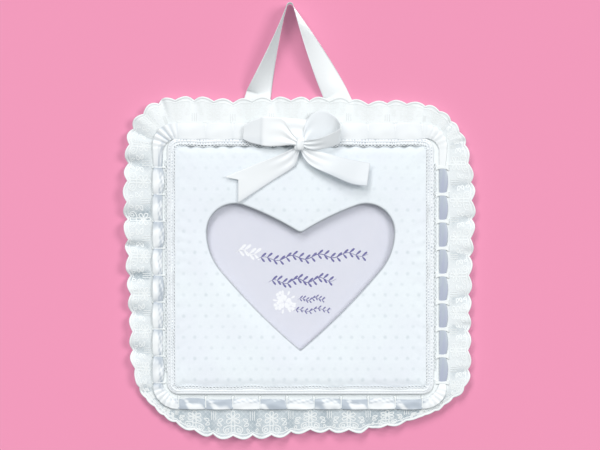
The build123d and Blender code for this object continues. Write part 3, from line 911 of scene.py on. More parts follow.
def lace_sprays():
    """The embroidered sprays, the bars between them and a line inside each scallop."""
    sprays = Cloth()
    thread = sizes().motif_thread / MM
    lift = 0.1
    middle = np.arange(0, 4 * scallops_per_side, 2) / scallops_per_side
    relief = by_side(middle, (0.04, 0.3, 0.4, 0.4))
    # Painted shade: the sprays are darkened low on the frame and a little on the left.
    faint = by_side(middle, (0.0, 0.0, 0.35, 0.1), (0.0, 0.0, 0.6, 0.2))
    for along, out in motif_lines():
        lines, up = on_lace(middle, along[None], out[None], lift)
        for line, above, depth, tone in zip(lines, up, relief, faint):
            sprays.cords([line], above[None], thread, depth, closed=True, tones=tone)
    bars = np.arange(1, 4 * scallops_per_side, 2) / scallops_per_side
    climb = np.linspace(1.5, 10.0, 7)[None]
    for along in (-2.2, 0.0, 2.2):
        lines, up = on_lace(bars, np.full(climb.shape, along), climb, lift)
        # Painted shade: the bars carry a tone of 0.35.
        sprays.cords(lines, up, thread * 0.75, 0.35, tones=0.35)
    arc = np.linspace(-0.5, 0.5, 17)
    centre = (np.arange(4 * scallops_per_side) + 0.5) / scallops_per_side
    spots = centre[:, None] + arc / scallops_per_side
    inner = lace_reach(spots) - 4.6 + 1.6 * (2 * np.abs(arc)) ** 2
    up = lace_normal(spots, inner)
    sprays.cords(lace_place(spots, inner) + up * lift, up, thread * 0.8, 0.35)
    return place(sprays.make("lace_sprays", thread_finish("lace_thread", "lace", 0.9), sharp=True), "lace")


class LaceRuffle(bpy.types.Operator):
    """Net ruffle with a flat heading, a corded scalloped edge and embroidered sprays"""

    bl_idname = "photo_frame.lace_ruffle"
    bl_label = "Lace ruffle"

    def execute(self, context):
        steps = 14 * scallops_per_side
        travel = np.arange(4 * steps) / steps
        reach = lace_reach(travel)
        ruffle = lace_net(travel, reach)
        edging = lace_edging(travel, reach)
        sprays = lace_sprays()
        return {"FINISHED"}


def bar_travels():
    """Travels of the lace bars on each side, as the CAD sets them out."""
    spots = []
    for side, count in enumerate(bars_per_side):
        run = side_length[side] - 2 * board_corner
        first = bar_gather if side == 1 else 0.0
        last = run - bar_gather if side == 3 else run
        spots.append(side + (half_corner + np.linspace(first, last, count)) / side_travel[side])
    return np.concatenate(spots)


class RibbonRun:
    """The threaded ribbon's shape and painted shade, round the rim and in each window between two bars."""

    def __init__(self, bars):
        spans = np.append(bars, bars[0] + 4)
        self.travel, self.length = even_travel(ribbon_middle, 1150)
        later = np.where(self.travel < bars[0], self.travel + 4, self.travel)
        window = np.searchsorted(bars, later, side="right") - 1
        side = np.floor(spans).astype(int) % 4
        corner = 4
        self.side = np.where(side[window] == side[window + 1], side[window], corner)[:, None]
        self.share = ((later - spans[window]) / (spans[window + 1] - spans[window]))[:, None]
        self.window = window[:, None]
        self.across = np.linspace(-1, 1, 17)[None]
        self.arch = np.sin(math.pi * self.share)
        self.pleat = self.varies((0.0, 0.0, 0.0, 0.0), (1.5, 0.5, 0.5, 1.0))
        self.fan = np.sin(2 * math.pi * 7 * self.share + 0.5 * self.across)

    def varies(self, sides, corners=None):
        """A value that changes round the rim."""
        return by_side(self.travel, sides, corners)[:, None]

    def out(self):
        """Distances outside the board's edge, drawn together at the bars."""
        odd = self.varies((0.3, 0.0, 0.7, 1.0), (0.0, 0.0, 0.0, 0.0))
        odd = odd * np.sin(2.7 * self.window + 1.0) * self.arch
        middle = self.varies((-8.8, -5.5, -5.6, -6.0), (-6.6, -7.0, -6.0, -6.4)) + 0.7 * odd
        width = self.varies((17.0, 8.4, 10.6, 10.6), (16.0, 13.0, 11.0, 12.0)) - 1.2 * odd
        narrow = self.varies((0.1, 0.0, 0.1, 0.25), (0.0, 0.0, 0.0, 0.1))
        bulge = self.varies((0.0, 0.85, 0.0, 0.0)) * (self.across > 0)
        pinch = 1 - self.arch ** 0.5
        return middle + width / 2 * self.across * (1 - narrow * pinch - bulge * pinch)

    def lift(self):
        """Height over the heading: puffed in the windows, crushed, and pleated at the corners."""
        share, window, across = self.share, self.window, self.across
        puff = self.varies((2.2, 0.7, 1.7, 2.5), (1.5, 1.4, 1.4, 1.6))
        dip = self.varies((0.15, 1.0, 0.75, 0.95), (0.2, 0.3, 0.5, 0.5))
        crush = self.varies((0.35, 0.1, 0.6, 1.0), (0.5, 0.4, 0.5, 0.8))
        peak = self.varies((-0.5, 0.0, 0.6, 0.5), (0.0, 0.0, 0.3, 0.5))
        seat = self.varies((1.0, 1.0, 0.8, 0.8), (0.5, 0.6, 0.8, 0.6))
        swell = 1 - dip * (1 - self.arch ** 0.45)
        dome = 1 - 0.6 * ((across - peak) / (1 + np.abs(peak))) ** 2
        crease = crush * self.arch ** 0.5 * (
            0.45 * np.sin(3.4 * across + 1.2 * np.sin(5 * share + window) + 2.1 * window)
            + 0.25 * np.sin(11 * share + 1.7 * window + 1.5 * across))
        pleats = self.pleat * self.fan * (0.75 + 0.25 * across)
        lift = 0.15 + swell * (0.5 + puff * dome) + crease + pleats
        return np.maximum(lift * (seat + (1 - seat) * ease(across, -1.0, -0.4)), 0.12)

    def tones(self):
        """Painted shade: violet-grey on the right, patchy and mottled at the bottom and left, and darker at
        the tucks and in the corner pleats.
        """
        share, window, across = self.share, self.window, self.across
        # Painted shade: the windows on the right are painted violet-grey, as the white satin looks in
        # shade.
        painted_lilac_shade = np.array([0.0, 1.0, 0.1, 0.0, 0.0])[self.side]
        painted_lilac_shade = painted_lilac_shade * (0.92 + 0.08 * np.sin(5 * across + 4 * share + 1.9 * window))
        painted_lilac_shade = painted_lilac_shade * (0.8 + 0.2 * ease(share, 0.1, 0.8))
        # Painted shade: the top side is darkened a little.
        plain = self.varies((0.12, 0.0, 0.0, 0.0), (0.08, 0.05, 0.0, 0.0))
        # Painted shade in patches along the bottom and a little on the left.
        turned = np.array([0.0, 0.0, 0.9, 0.2, 0.0])[self.side]
        turned = turned * ease(np.sin(2.4 * window + 0.6), -0.5, 0.4)
        turned = turned * (0.5 + 0.5 * np.sin(5 * share + 1.5 * across + 0.8 * np.sin(9 * share) + window))
        mottle = 0.55 + 0.45 * np.sin(21 * share + 2.3 * window) * np.sin(8 * across + 9 * share + window)
        # Painted shade over the inner half of the ribbon at the bottom and left.
        inner = self.varies((0.0, 0.0, 0.4, 0.45), (0.0, 0.0, 0.1, 0.1))
        inner = inner * ease(-across, -0.15, 0.3) * mottle
        # Painted shadow at the ends of each window, where the ribbon tucks under a bar.
        painted_tuck_shadow = self.varies((0.1, 0.1, 0.35, 1.2), (0.1, 0.1, 0.2, 0.3)) * (1 - self.arch ** 0.3)
        painted_tuck_shadow = painted_tuck_shadow * (1 - self.varies((0.0, 0.0, 0.0, 0.7)) * (1 - ease(share, 0.4, 0.6)))
        # Painted shade in the hollows of the corner pleats.
        hollow = 0.3 * self.pleat * np.clip(-self.fan, 0, 1)
        return np.maximum(painted_lilac_shade, np.clip(plain + turned + inner + painted_tuck_shadow + hollow, 0, 0.65))


def lace_bars(bars):
    """The lace bars that cross over the ribbon, four threads each."""
    bridges = Cloth()
    climb = np.linspace(-1, 1, 15)[None]
    size = by_side(bars, (0.4, 1.0, 0.35, 0.35))[:, None]
    under = by_side(bars, (1.6, 0.15, 0.75, 0.3))[:, None]
    lift = 0.1 + (under + 0.7) * (1 - np.abs(climb) ** 3)
    for offset in (-1.1, -0.37, 0.37, 1.1):
        flare = offset * size * (0.8 + 1.9 * np.abs(climb) ** 2.5)
        spots = bars[:, None] + flare / side_travel.mean()
        lines = rim_place(spots, ribbon_middle + 7.2 * climb, heading_y - lift)
        bridges.cords(lines, TOWARDS_VIEWER, size * (1.15 + 0.7 * climb ** 2), 0.55, sides=7)
    place(bridges.make("lace_bars", thread_finish("bar_thread", "lace", 1.0)), "lace", "beading_bars")


class ThreadedRibbon(bpy.types.Operator):
    """Satin ribbon threaded through the lace heading, and the lace bars that hold it"""

    bl_idname = "photo_frame.threaded_ribbon"
    bl_label = "Threaded ribbon"

    def execute(self, context):
        bars = bar_travels()
        run = RibbonRun(bars)
        points = rim_place(run.travel[:, None], run.out(), heading_y - 0.1 - run.lift())
        gone = np.arange(run.travel.size + 1) * run.length / run.travel.size
        marks = net_marks(gone, run.across[0] * 4.5)
        ribbon = Cloth()
        ribbon.sheet(points, sizes().ribbon_thickness / MM, marks, run.tones(), wrap=True)
        piece = place(ribbon.make("threaded_ribbon", satin_finish()), "satin", "beading_ribbon")
        lace_bars(bars)
        return {"FINISHED"}


def braid_wobble(travel):
    """How far the braid strays from its line, as hand-sewn braid does."""
    return 0.55 * np.sin(travel * math.pi / 2 * 23) + 0.4 * np.sin(travel * math.pi / 2 * 41 + 1)


def braid_tape(travel, length, raised):
    """The domed tape, which is steeper along the bottom."""
    inset, domed, steep = np.array([
        (0.0, 0.2, 0.2), (0.2, 1.1, 2.4), (0.9, 2.0, 3.0), (1.8, 2.7, 3.1), (2.8, 3.0, 3.1),
        (4.2, 3.1, 3.1), (5.6, 3.1, 3.1), (6.6, 3.0, 3.0), (6.9, 2.4, 2.4), (6.9, 0.1, 0.1)]).T
    inward = inset + 0.5 * braid_wobble(travel)[:, None] * ease(inset, 2.0, 6.0)
    bottom = by_side(travel, (0.0, 0.0, 1.0, 0.0), (0.0, 0.0, 0.0, 0.0))[:, None]
    depth = heading_y - (domed * (1 - bottom) + steep * bottom) * raised[:, None]
    points = rim_place(travel[:, None], -braid_inset - inward, depth)
    gone = np.arange(travel.size + 1) * length / travel.size
    # How strong the holes' painted shade is on each side: faint along the bottom.
    hole_shade_by_side = by_side(travel, (1.0, 0.9, 0.15, 0.8))[:, None]
    tape = Cloth()
    tape.grid(points, net_marks(gone, inset), hole_shade_by_side, wrap=(True, False))
    place(tape.make("gimp_braid_trim", gimp_finish()), "braid", "gimp_braid")


def picots(cloth, spots, out, lift, half, thread):
    """Closed loops of thread; half holds a loop's half length, half width and tilt."""
    turn = np.arange(12) * 2 * math.pi / 12
    around = spots[:, None] + half[0] * np.sin(turn) / side_travel.mean()
    away = out[:, None] + half[1] * np.cos(turn)
    lines = rim_place(around, away, heading_y - lift + half[2] * np.cos(turn))
    cloth.cords(lines, TOWARDS_VIEWER, *thread, closed=True, sides=6)


def braid_cords(travel, length, raised):
    """Cords along the tape, and the picot loops on its two edges."""
    cords = Cloth()
    outer, inner = -braid_inset, -braid_inset - braid_width
    for inward, lift, width in ((0.5, 1.5, 0.9), (3.5, 3.3, 1.1), (6.3, 3.3, 0.9)):
        out = outer - inward - braid_wobble(travel) * inward / 13
        line = rim_place(travel, out, heading_y - lift * raised)
        cords.cords([line], TOWARDS_VIEWER, width, 0.7, closed=True, sides=7)
    spots, _ = even_travel(inner, round(length / 3.5))
    picots(cords, spots, inner - 0.3 - braid_wobble(spots), 3.75, (1.5, 1.4, 0.25), (0.85, 0.8))
    spots, _ = even_travel(outer + 1.0, round(length / 4.4))
    spots = spots[(np.floor(spots) % 2 == 1) & (np.abs(spots % 1 - 0.5) < 0.33)]
    picots(cords, spots, outer + 1.3 + braid_wobble(spots) * 0.3, 1.2, (1.9, 1.3, 0.5), (0.75, 0.6))
    place(cords.make("gimp_braid_cords", thread_finish("gimp_thread", "braid", 1.1)), "braid")


class GimpBraid(bpy.types.Operator):
    """Gimp braid: a domed tape with two rows of holes, corded edges and picot loops"""

    bl_idname = "photo_frame.gimp_braid"
    bl_label = "Gimp braid"

    def execute(self, context):
        travel, length = even_travel(-braid_inset - 3, 1000)
        raised = by_side(travel, (1.15, 1.0, 1.05, 1.0))
        braid_tape(travel, length, raised)
        braid_cords(travel, length, raised)
        return {"FINISHED"}


def bearing_of(line):
    """Directions of a closed line's points from the middle, clockwise from straight up."""
    bearing = np.arctan2(line[:, 0], line[:, 1]) % (2 * math.pi)
    bearing[0], bearing[-1] = 0.0, 2 * math.pi
    return bearing


def gap_to(line, flat):
    """Distances of flat places from a line."""
    gap = np.full(flat.shape[:-1], 1e9)
    for start, stop in zip(line[:-1], line[1:]):
        run = stop - start
        along = np.clip(((flat - start) @ run) / (run @ run), 0, 1)
        gap = np.minimum(gap, np.linalg.norm(flat - start - along[..., None] * run, axis=2))
    return gap


def rolled(distance, turn):
    """How far a rolled edge drops, at a distance from the edge."""
    inside = np.clip(turn - distance, 0, turn)
    return turn - np.sqrt(np.maximum(turn * turn - inside * inside, 0))


def cover_depth(flat, gap, margin):
    """Depth of the cover's front: rolled at both edges, swollen between them and puckered at the braid."""
    x, z = flat[..., 0], flat[..., 1]
    crown = sizes().pad_crown / MM
    swell = ease(gap, 1, 16) * ease(margin, 2, 26)
    uneven = 0.16 * np.sin(x / 21 + 0.6) * np.sin(z / 27) + 0.1 * np.sin(x / 9 + z / 13)
    bearing = np.arctan2(x, z)
    pucker = 0.16 * np.sin(bearing * 61 + 2 * np.sin(bearing * 9)) * ease(margin, 1, 5)
    pucker = pucker * (1 - ease(margin, 6, 20))
    above = ease(z - np.abs(x) + cover_wide - cover_high, -8, 8)
    below = ease(-z - np.abs(x) + cover_wide - cover_high, -8, 8)
    slope = 0.7 + 1.3 * above + 1.0 * below
    depth = cover_y + 0.25 + rolled(gap, 2.3) + rolled(margin, 1.6) + slope * (1 - ease(margin, 0.0, 9.0))
    return depth - (crown + 0.25) * swell - (uneven * swell + pucker)


def cover_painted_shade(flat, gap, margin):
    """Painted shade of the cover: a dark band beside the braid, wavy along the top where the picots would
    cast their shadow, and a dark line at the window's edge.
    """
    x, z = flat[..., 0], flat[..., 1]
    upper = z > cover_high - 6
    beside = np.abs(z) < cover_high - 6
    along_top = ease(cover_wide - np.abs(x), 3, 18)
    dark = np.where(upper, 0.12 + 0.78 * along_top, np.where(beside, 0.6, 0.15))
    wavy = np.where(upper, 1.1 * np.sin(x / 2.1 + np.sin(x / 19)), 0.0)
    into = np.where(beside, 1.5 * margin + 1.1, margin + wavy)
    return dark * (1 - ease(into, 1.2, 3.4)) + 0.6 * (1 - ease(gap, 0.3, 1.5))


def padded_cover(finish):
    """The cotton over the pad, with its edges turned into the window and under the pad."""
    heart = heart_line()
    box = round_box(cover_wide, cover_high, cover_corner, 420)
    angle = np.sort(np.concatenate([bearing_of(heart), bearing_of(box)]))
    angle = angle[np.append(True, np.diff(angle) > 0.0012)]
    angle = angle[angle < 2 * math.pi - 0.0006]
    ray = np.stack([np.sin(angle), np.cos(angle)], axis=1)
    near = np.interp(angle, bearing_of(heart), np.linalg.norm(heart, axis=1))
    far = np.interp(angle, bearing_of(box), np.linalg.norm(box, axis=1))
    border, crowding = 0.14, 1.7
    share = np.concatenate([
        np.linspace(0, 1, 12) ** crowding * border, np.linspace(border, 1 - border, 18)[1:],
        1 - np.linspace(1, 0, 14)[1:] ** crowding * border])
    radius = near[:, None] + (far - near)[:, None] * share
    flat = ray[:, None] * radius[..., None]
    gap = gap_to(heart, flat)
    beyond = np.abs(flat) - np.array([cover_wide - cover_corner, cover_high - cover_corner])
    past_corner = np.linalg.norm(np.maximum(beyond, 0), axis=2)
    margin = np.maximum(cover_corner - past_corner - np.minimum(beyond.max(axis=2), 0), 0)

    def ring(radius, y):
        return upright(ray * radius[:, None], y)[:, None]

    under, turn_under = 0.05, 0.4
    points = np.concatenate([
        ring(near, board_back_y - under), ring(near, board_face_y),
        upright(flat, cover_depth(flat, gap, margin)),
        ring(far, rim_y + 0.1), ring(far, board_face_y - under),
        ring(near + turn_under, board_face_y - under),
        ring(near + turn_under, board_back_y - under)], axis=1)
    painted_seam_shade = cover_painted_shade(flat, gap, margin)
    # Painted shade: the window's inner wall gets 0.3, and the outer wall and the edges turned under get
    # 0.7.
    tones = np.concatenate([np.full((len(ray), 2), 0.3), painted_seam_shade, np.full((len(ray), 4), 0.7)], axis=1)
    cover = Cloth()
    cover.grid(points, tones=tones, wrap=(True, True))
    return place(cover.make("padded_panel", finish), "cotton", "fabric_cover", "wadding_pad")


def rim_cloth(finish):
    """The cotton on the board's rim, turned over its edge."""
    travel, _ = even_travel(0, 720)
    out, sunk = np.array([
        (-braid_inset - braid_width - 0.2, 0.15), (-12.0, 0.15), (-4.0, 0.15), (-0.9, 0.15), (0.1, 0.5),
        (0.45, 1.4), (0.45, 2.6), (0.3, 3.1), (-1.5, 3.2)]).T
    rim = Cloth()
    points = rim_place(travel[:, None], out, np.minimum(rim_y + sunk, board_back_y - 0.1))
    rim.grid(points, wrap=(True, False))
    return place(rim.make("rim_cloth", finish), "cotton")


class PaddedPanel(bpy.types.Operator):
    """Padded panel in dotted cotton with the heart window, and the cloth on its rim"""

    bl_idname = "photo_frame.padded_panel"
    bl_label = "Padded panel"

    def execute(self, context):
        finish = cotton_finish()
        piece = padded_cover(finish)
        rim_piece = rim_cloth(finish)
        return {"FINISHED"}


def ribbon_marks(points, width):
    """Distances along and across a ribbon, for its threads."""
    columns = points.shape[1]
    return net_marks(length_along(points[:, columns // 2]), np.linspace(-0.5, 0.5, columns) * width)


def in_front(points, gap):
    """Points kept clear of the pad and of the braid and ribbon above it."""
    above = points[..., 2] - (panel_z + pad_half_height)
    limit = np.interp(above, (-6.0, -1.0, 2.0, 7.5, 9.0), (-0.7, 0.4, 1.1, 1.4, 0.4)) - gap
    over = points[..., 1] - limit
    near = limit - 0.25 * (1 - np.clip(over, -1, 1)) ** 2
    points[..., 1] = np.where(over > -1, near, points[..., 1])
    return points


def bow_ribbon(name, finish, edges, rows, folds, tone, notch=None):
    """A length of the bow's ribbon whose two edges run smoothly through the given points.

    Each row of edges holds a point of the upper edge and one of the lower edge, each as its distance
    right of the knot's middle, above it and towards the viewer. A notch has a depth and a place across."""
    line = smooth_line(edges, rows)
    spread = np.linspace(0, 1, 21)
    flat = line[:, None, :3] * (1 - spread)[None, :, None] + line[:, None, 3:] * spread[None, :, None]
    points = knot_centre + np.stack([flat[..., 0], -flat[..., 2], flat[..., 1]], axis=2)
    share = np.linspace(0, 1, rows)[:, None]
    if notch:
        depth, point = notch
        back = unit(points[-8].mean(axis=0) - points[-1].mean(axis=0))
        cut = depth * np.interp(spread, (0, point, 1), (0, 1, 0))
        points += back * (ease(share, 0.7, 1.0) * cut)[..., None]
    normal = unit(np.cross(np.gradient(points, axis=0), np.gradient(points, axis=1)))
    middle = np.linalg.norm(flat.mean(axis=1)[:, :2], axis=1)
    points += normal * folds(share, spread, (middle / middle.max())[:, None])[..., None]
    points = in_front(points, 0.3)
    width = np.linalg.norm(line[:, :3] - line[:, 3:], axis=1).max()
    cloth = Cloth()
    cloth.sheet(points, sizes().ribbon_thickness / MM, ribbon_marks(points, width), tone(share, spread))
    return place(cloth.make(f"satin_{name}", finish), "satin", name)


def loop_folds(share, spread, out):
    """Folds of a bow loop, tight at the knot and slack further out."""
    tight = 1 - ease(out, 0.08, 0.7)
    slack = 0.35 * np.sin(8 * share + 3 * spread) * (1 - tight)
    return 0.85 * tight * np.cos(math.pi * 4.4 * spread + 0.6) + slack


def tail_folds(share, spread, out):
    """Folds of a bow tail, tight at the knot and slack further out."""
    tight = 1 - ease(out, 0.04, 0.55)
    slack = 0.35 * np.sin(5 * share + 2.5 * spread) * ease(out, 0.2, 0.5)
    return 0.8 * tight * np.cos(math.pi * 4.6 * spread + 0.2) + slack


def left_loop_tone(share, spread):
    """Painted shade of the left loop, deeper on its inside and along its lower edge."""
    inside = ease(share, 0.3, 0.34) * (1 - ease(share, 0.5, 0.54))
    return 0.02 + 0.16 * inside + 0.06 * ease(spread, 0.6, 0.9)


def right_loop_tone(share, spread):
    """Painted shade of the right loop, deeper on the half behind."""
    return 0.15 + 0.06 * (1 - ease(share, 0.42, 0.5))


def left_tail_tone(share, spread):
    """Painted shade of the left tail, deeper along its lower edge."""
    return 0.13 + 0.1 * ease(spread, 0.75, 1.0)


def right_tail_tone(share, spread):
    """Painted shade of the right tail, deeper along its lower edge and away from the knot."""
    return left_tail_tone(share, spread) + 0.1 * ease(share, 0.2, 0.6)


def squared(value, power):
    """A power of a value that keeps its sign."""
    return np.sign(value) * np.abs(value) ** power


def bow_knot(finish):
    """The knot: a leaning, pinched barrel."""
    height, turn = np.meshgrid(np.linspace(-math.pi / 2, math.pi / 2, 33),
                               np.linspace(0, 2 * math.pi, 72, endpoint=False), indexing="ij")
    half = (knot_high - knot_low) / 2 * np.array([1.0, 0.95, 0.85])
    pinch = 1 + 0.08 * np.cos(6 * turn + 2.2 * height) + 0.04 * np.cos(11 * turn - height)
    waist = 0.84 + 0.16 * np.sin(height) ** 2
    lean = math.radians(14)
    up = half[2] * squared(np.sin(height), 0.8)
    right = half[0] * squared(np.cos(height), 0.6) * squared(np.cos(turn), 0.8) * pinch * waist
    back = half[1] * squared(np.cos(height), 0.6) * squared(np.sin(turn), 0.8) * pinch
    body = np.stack([right + math.tan(lean) * up, back, up], axis=2)
    knot = Cloth()
    # Painted shade: the knot carries a tone of 0.1.
    knot.grid(knot_centre + body, net_marks(np.linspace(0, 22, 33), np.linspace(0, 30, 73)), 0.1,
              wrap=(False, True))
    return place(knot.make("satin_bow_knot", finish), "satin", "bow_knot")


def bow_stitches():
    """Two stitches that hold the bow to the braid."""
    stitch = Cloth()
    low, high = extent("bow_stitches")
    share = np.linspace(0, 1, 9)
    thread = 0.9
    for x in (low[0] + 0.6, high[0] - 0.6):
        deep = low[1] - 0.4 + (high[1] - low[1] + 0.5) * share
        level = np.full(share.size, (low[2] + high[2]) / 2)
        line = np.stack([x + 0.3 * np.sin(math.pi * share), deep, level], axis=1)
        stitch.cords([line], np.array([0.0, 0.0, 1.0]), thread, thread, sides=8)
    finish = thread_finish("sewing_thread", "braid", 0.8)
    place(stitch.make("bow_thread", finish), "thread", "bow_stitches")


class SatinBow(bpy.types.Operator):
    """Satin bow: knot, two loops, two cut tails and the stitches that hold it"""

    bl_idname = "photo_frame.satin_bow"
    bl_label = "Satin bow"

    def execute(self, context):
        finish = satin_finish()
        loop = bow_ribbon("bow_loop_left", finish, [
            (-1.5, 3.0, 3.0, -1.5, -1.5, 3.0), (-8.5, 11.5, 1.2, -10, -1.0, 1.4),
            (-17.5, 25.0, -1.2, -20, -2.0, -0.6), (-29, 27.0, -1.8, -31, -2.4, -1.4),
            (-37.5, 27.2, -2.2, -38.5, -1.6, -1.9), (-40.5, 26.5, -3.0, -41.5, -0.8, -3.4),
            (-50, 22.6, -3.2, -50, 1.4, -3.8), (-57.6, 15.0, -4.4, -57.8, 5.0, -4.8),
            (-52, 21.0, -5.8, -52, 1.4, -5.8), (-30, 25.0, -6.2, -30, -1.5, -6.0),
            (-14, 26.5, -6.2, -11, -1.0, -5.0), (9, 24.5, -6.8, -1, -2.0, -3.5)],
            110, loop_folds, left_loop_tone)
        loop = bow_ribbon("bow_loop_right", finish, [
            (1.5, 2.5, -3.0, 1.5, -2.5, -3.0), (4.5, 20, -5.0, 8, -1, -5.0),
            (12.5, 31, -5.6, 16, 2.5, -5.4), (24.5, 33.2, -5.4, 27, 3.0, -5.2),
            (35.5, 26.5, -1.0, 37, 3.5, -5.0), (40.2, 17.5, 6.0, 39, 1.5, -3.0),
            (36.5, 13, 8.5, 35, -1.0, -0.5), (21.5, 6.5, 8.5, 24, -4.5, 1.0),
            (9, 4.0, 6.5, 11.5, -6.0, 2.0), (2, 2.5, 4.0, 2, -2.5, 3.0)],
            90, loop_folds, right_loop_tone)
        tail = bow_ribbon("bow_tail_left", finish, [
            (-1.5, -2.0, -1.5, -0.5, -4.5, -1.5), (-8, -4.5, -2.5, -2.5, -13, -3.0),
            (-20, -10, -4.0, -7, -23, -4.6), (-45, -20, -4.8, -29, -37.2, -5.0),
            (-76, -33, -2.6, -62.5, -59.3, -5.0)],
            70, tail_folds, left_tail_tone, notch=(11.0, 0.3))
        tail = bow_ribbon("bow_tail_right", finish, [
            (1.5, -2.0, -0.5, -0.5, -4.5, -0.5), (9, -4.5, -0.8, 4, -14.5, -0.6),
            (22, -8, -0.2, 12, -22.5, 1.2), (43, -13.8, 0.8, 31, -31.5, 4.2),
            (57, -16.8, 0.6, 50.5, -39.8, 4.8), (69.5, -18.8, -1.0, 66.5, -42.3, 2.8)],
            70, tail_folds, right_tail_tone)
        piece = bow_knot(finish)
        bow_stitches()
        return {"FINISHED"}


nail_middle = np.array([0.0, -3.0])
nail_round = 3.25
loop_width = 25.0
loop_spread = 112.0
loop_drop = 15.0
loop_end = 15.0
bend_y = 9.5
bend_z = -90.0


def loop_strand(hand):
    """Rows of one strand, from its end in the panel to the nail, and the angle where it meets the nail.

    Each row holds a place, its depth, and how the ribbon's width lies there: level and edge-on."""
    anchor = np.array([panel_x + hand * loop_spread / 2, panel_z + half_height - loop_drop])
    reach = anchor - nail_middle
    leave = math.atan2(reach[1], reach[0]) + hand * math.acos(nail_round / np.linalg.norm(reach))
    top = nail_middle + nail_round * circle(leave)
    upward = unit(top - anchor)
    foot = anchor - upward * loop_end
    start = anchor + upward / upward[1] * (bend_z - anchor[1])
    level = np.array([upward[1], -upward[0]])
    rows = []
    for share in np.linspace(0, 1, 40, endpoint=False):
        rows.append((foot + (start - foot) * share, bend_y, level, 0.0))
    for share in np.linspace(0, 1, 80) ** 1.3:
        facing = (1 - share) ** 1.45 if hand < 0 else 1 - share ** 1.5
        forward = (1 - share) ** (4.0 if hand < 0 else 2.2)
        edge_on = math.sqrt(1 - facing ** 2)
        rows.append((start + (top - start) * share, bend_y * forward, level * facing, edge_on))
    return rows, leave % (2 * math.pi)


class HangingLoop(bpy.types.Operator):
    """Satin ribbon loop over the nail, bending where it meets the panel"""

    bl_idname = "photo_frame.hanging_loop"
    bl_label = "Hanging loop"

    def execute(self, context):
        left, first = loop_strand(-1)
        right, last = loop_strand(1)
        over = []
        for share in np.linspace(0, 1, 14)[1:-1]:
            spot = nail_middle + nail_round * circle(first + (last - first) * share)
            over.append((spot, 0.0, np.zeros(2), 1.0))
        rows = left + over + right[::-1]
        middles = np.array([(spot[0], y, spot[1]) for spot, y, _, _ in rows])
        across = unit(np.array([(level[0], edge_on, level[1]) for _, _, level, edge_on in rows]))
        columns = np.linspace(-0.5, 0.5, 15) * loop_width
        points = middles[:, None] + across[:, None] * columns[None, :, None]
        ribbon = Cloth()
        # Painted shade: the loop carries a tone of 0.03.
        ribbon.sheet(points, sizes().ribbon_thickness / MM, ribbon_marks(points, loop_width), 0.03)
        piece = place(ribbon.make("hanging_loop", satin_finish()), "satin",
                      "hanging_ribbon", "hanger_end_left", "hanger_end_right", body=None)
        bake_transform(piece)
        return {"FINISHED"}


def on_card(flat, lift):
    """Points on the card's face, about its middle."""
    return upright(flat, card_low[1] - lift, (panel_x, (card_low[2] + card_high[2]) / 2))


def blade(print_on, length, width, heading, spot):
    """One printed leaf or petal; each lies a hair over the one before."""
    rim = np.stack(petal(length, width, heading, spot), axis=1)
    middle = rim.mean(axis=0)
    rings = np.stack([middle + (rim - middle) * grow for grow in (0.02, 0.6, 1.0)])
    lift = 0.03 + 0.0002 * len(print_on.points)
    print_on.grid(on_card(rings, lift), wrap=(False, True))


def vine(print_on, centre, length, waves, wide, leaf=1.0):
    """A printed vine with two rows of leaves."""
    share = np.linspace(0, 1, 40 * waves)
    rise = 0.05 * length * (share - 0.5) + 2.2 * leaf * np.sin(2 * math.pi * waves * share)
    line = np.array(centre) + np.stack([length * (share - 0.5), rise], axis=1)
    taper = wide * (0.35 + 0.65 * np.sin(math.pi * share))
    print_on.cords([on_card(line, 0.02)], TOWARDS_VIEWER, taper[None], 0.06)
    for spot in line[6:-6:9]:
        blade(print_on, 7.0 * leaf, 2.4 * leaf, 50, spot)
        blade(print_on, 6.0 * leaf, 2.2 * leaf, 140, spot)


class InsertCard(bpy.types.Operator):
    """Insert card with printed vines and flowers, and the clear sheet over it"""

    bl_idname = "photo_frame.insert_card"
    bl_label = "Insert card"

    def execute(self, context):
        coat("photo_insert", paper_finish("lavender_card", "card", 260.0, 0.5))
        coat("window_sheet", clear_finish())
        violet = Cloth()
        vine(violet, (12.0, 20.5), 112.0, 4, 0.9)
        vine(violet, (2.0, -3.5), 68.0, 3, 0.8)
        vine(violet, (11.0, -22.0), 28.0, 2, 0.5, 0.6)
        vine(violet, (12.0, -33.0), 39.0, 2, 0.5, 0.6)
        white = Cloth()
        vine(white, (-54.0, 25.0), 22.0, 1, 1.2, 1.3)
        largest = (-16.0, -25.0)
        bunch = ((largest, 1.35), ((-9.5, -29.5), 0.95), ((-22.5, -29.0), 0.9), ((-20.5, -18.5), 0.85))
        for centre, size in bunch:
            for heading in range(0, 360, 72):
                blade(white, 4.4 * size, 4.3 * size, heading, spoke_end(centre, heading, 0.7 * size))
        for heading in (-80, -10, 25, 60, 100, 150, 190, 235):
            blade(white, 5.0, 2.4, heading, spoke_end(largest, heading, 7))
        place(violet.make("card_vines", ink_finish("violet_ink", "ink")), "print_paper", body="photo")
        place(white.make("card_flowers", ink_finish("white_ink", "blossom")), "print_paper", body="photo")
        return {"FINISHED"}


class BoardsAndBack(bpy.types.Operator):
    """Finishes of the boards, the paper lining and the staples"""

    bl_idname = "photo_frame.boards_and_back"
    bl_label = "Boards and back"

    def execute(self, context):
        board = paper_finish("grey_board", "board", 520.0, 0.8)
        for node in ("front_board", "back_board", "pocket_strip_top", "pocket_strip_bottom",
                     "pocket_strip_left"):
            coat(node, board)
        coat("back_lining", paper_finish("lining_paper", "lining", 340.0, 0.65))
        coat("hanger_staples", steel_finish())
        return {"FINISHED"}


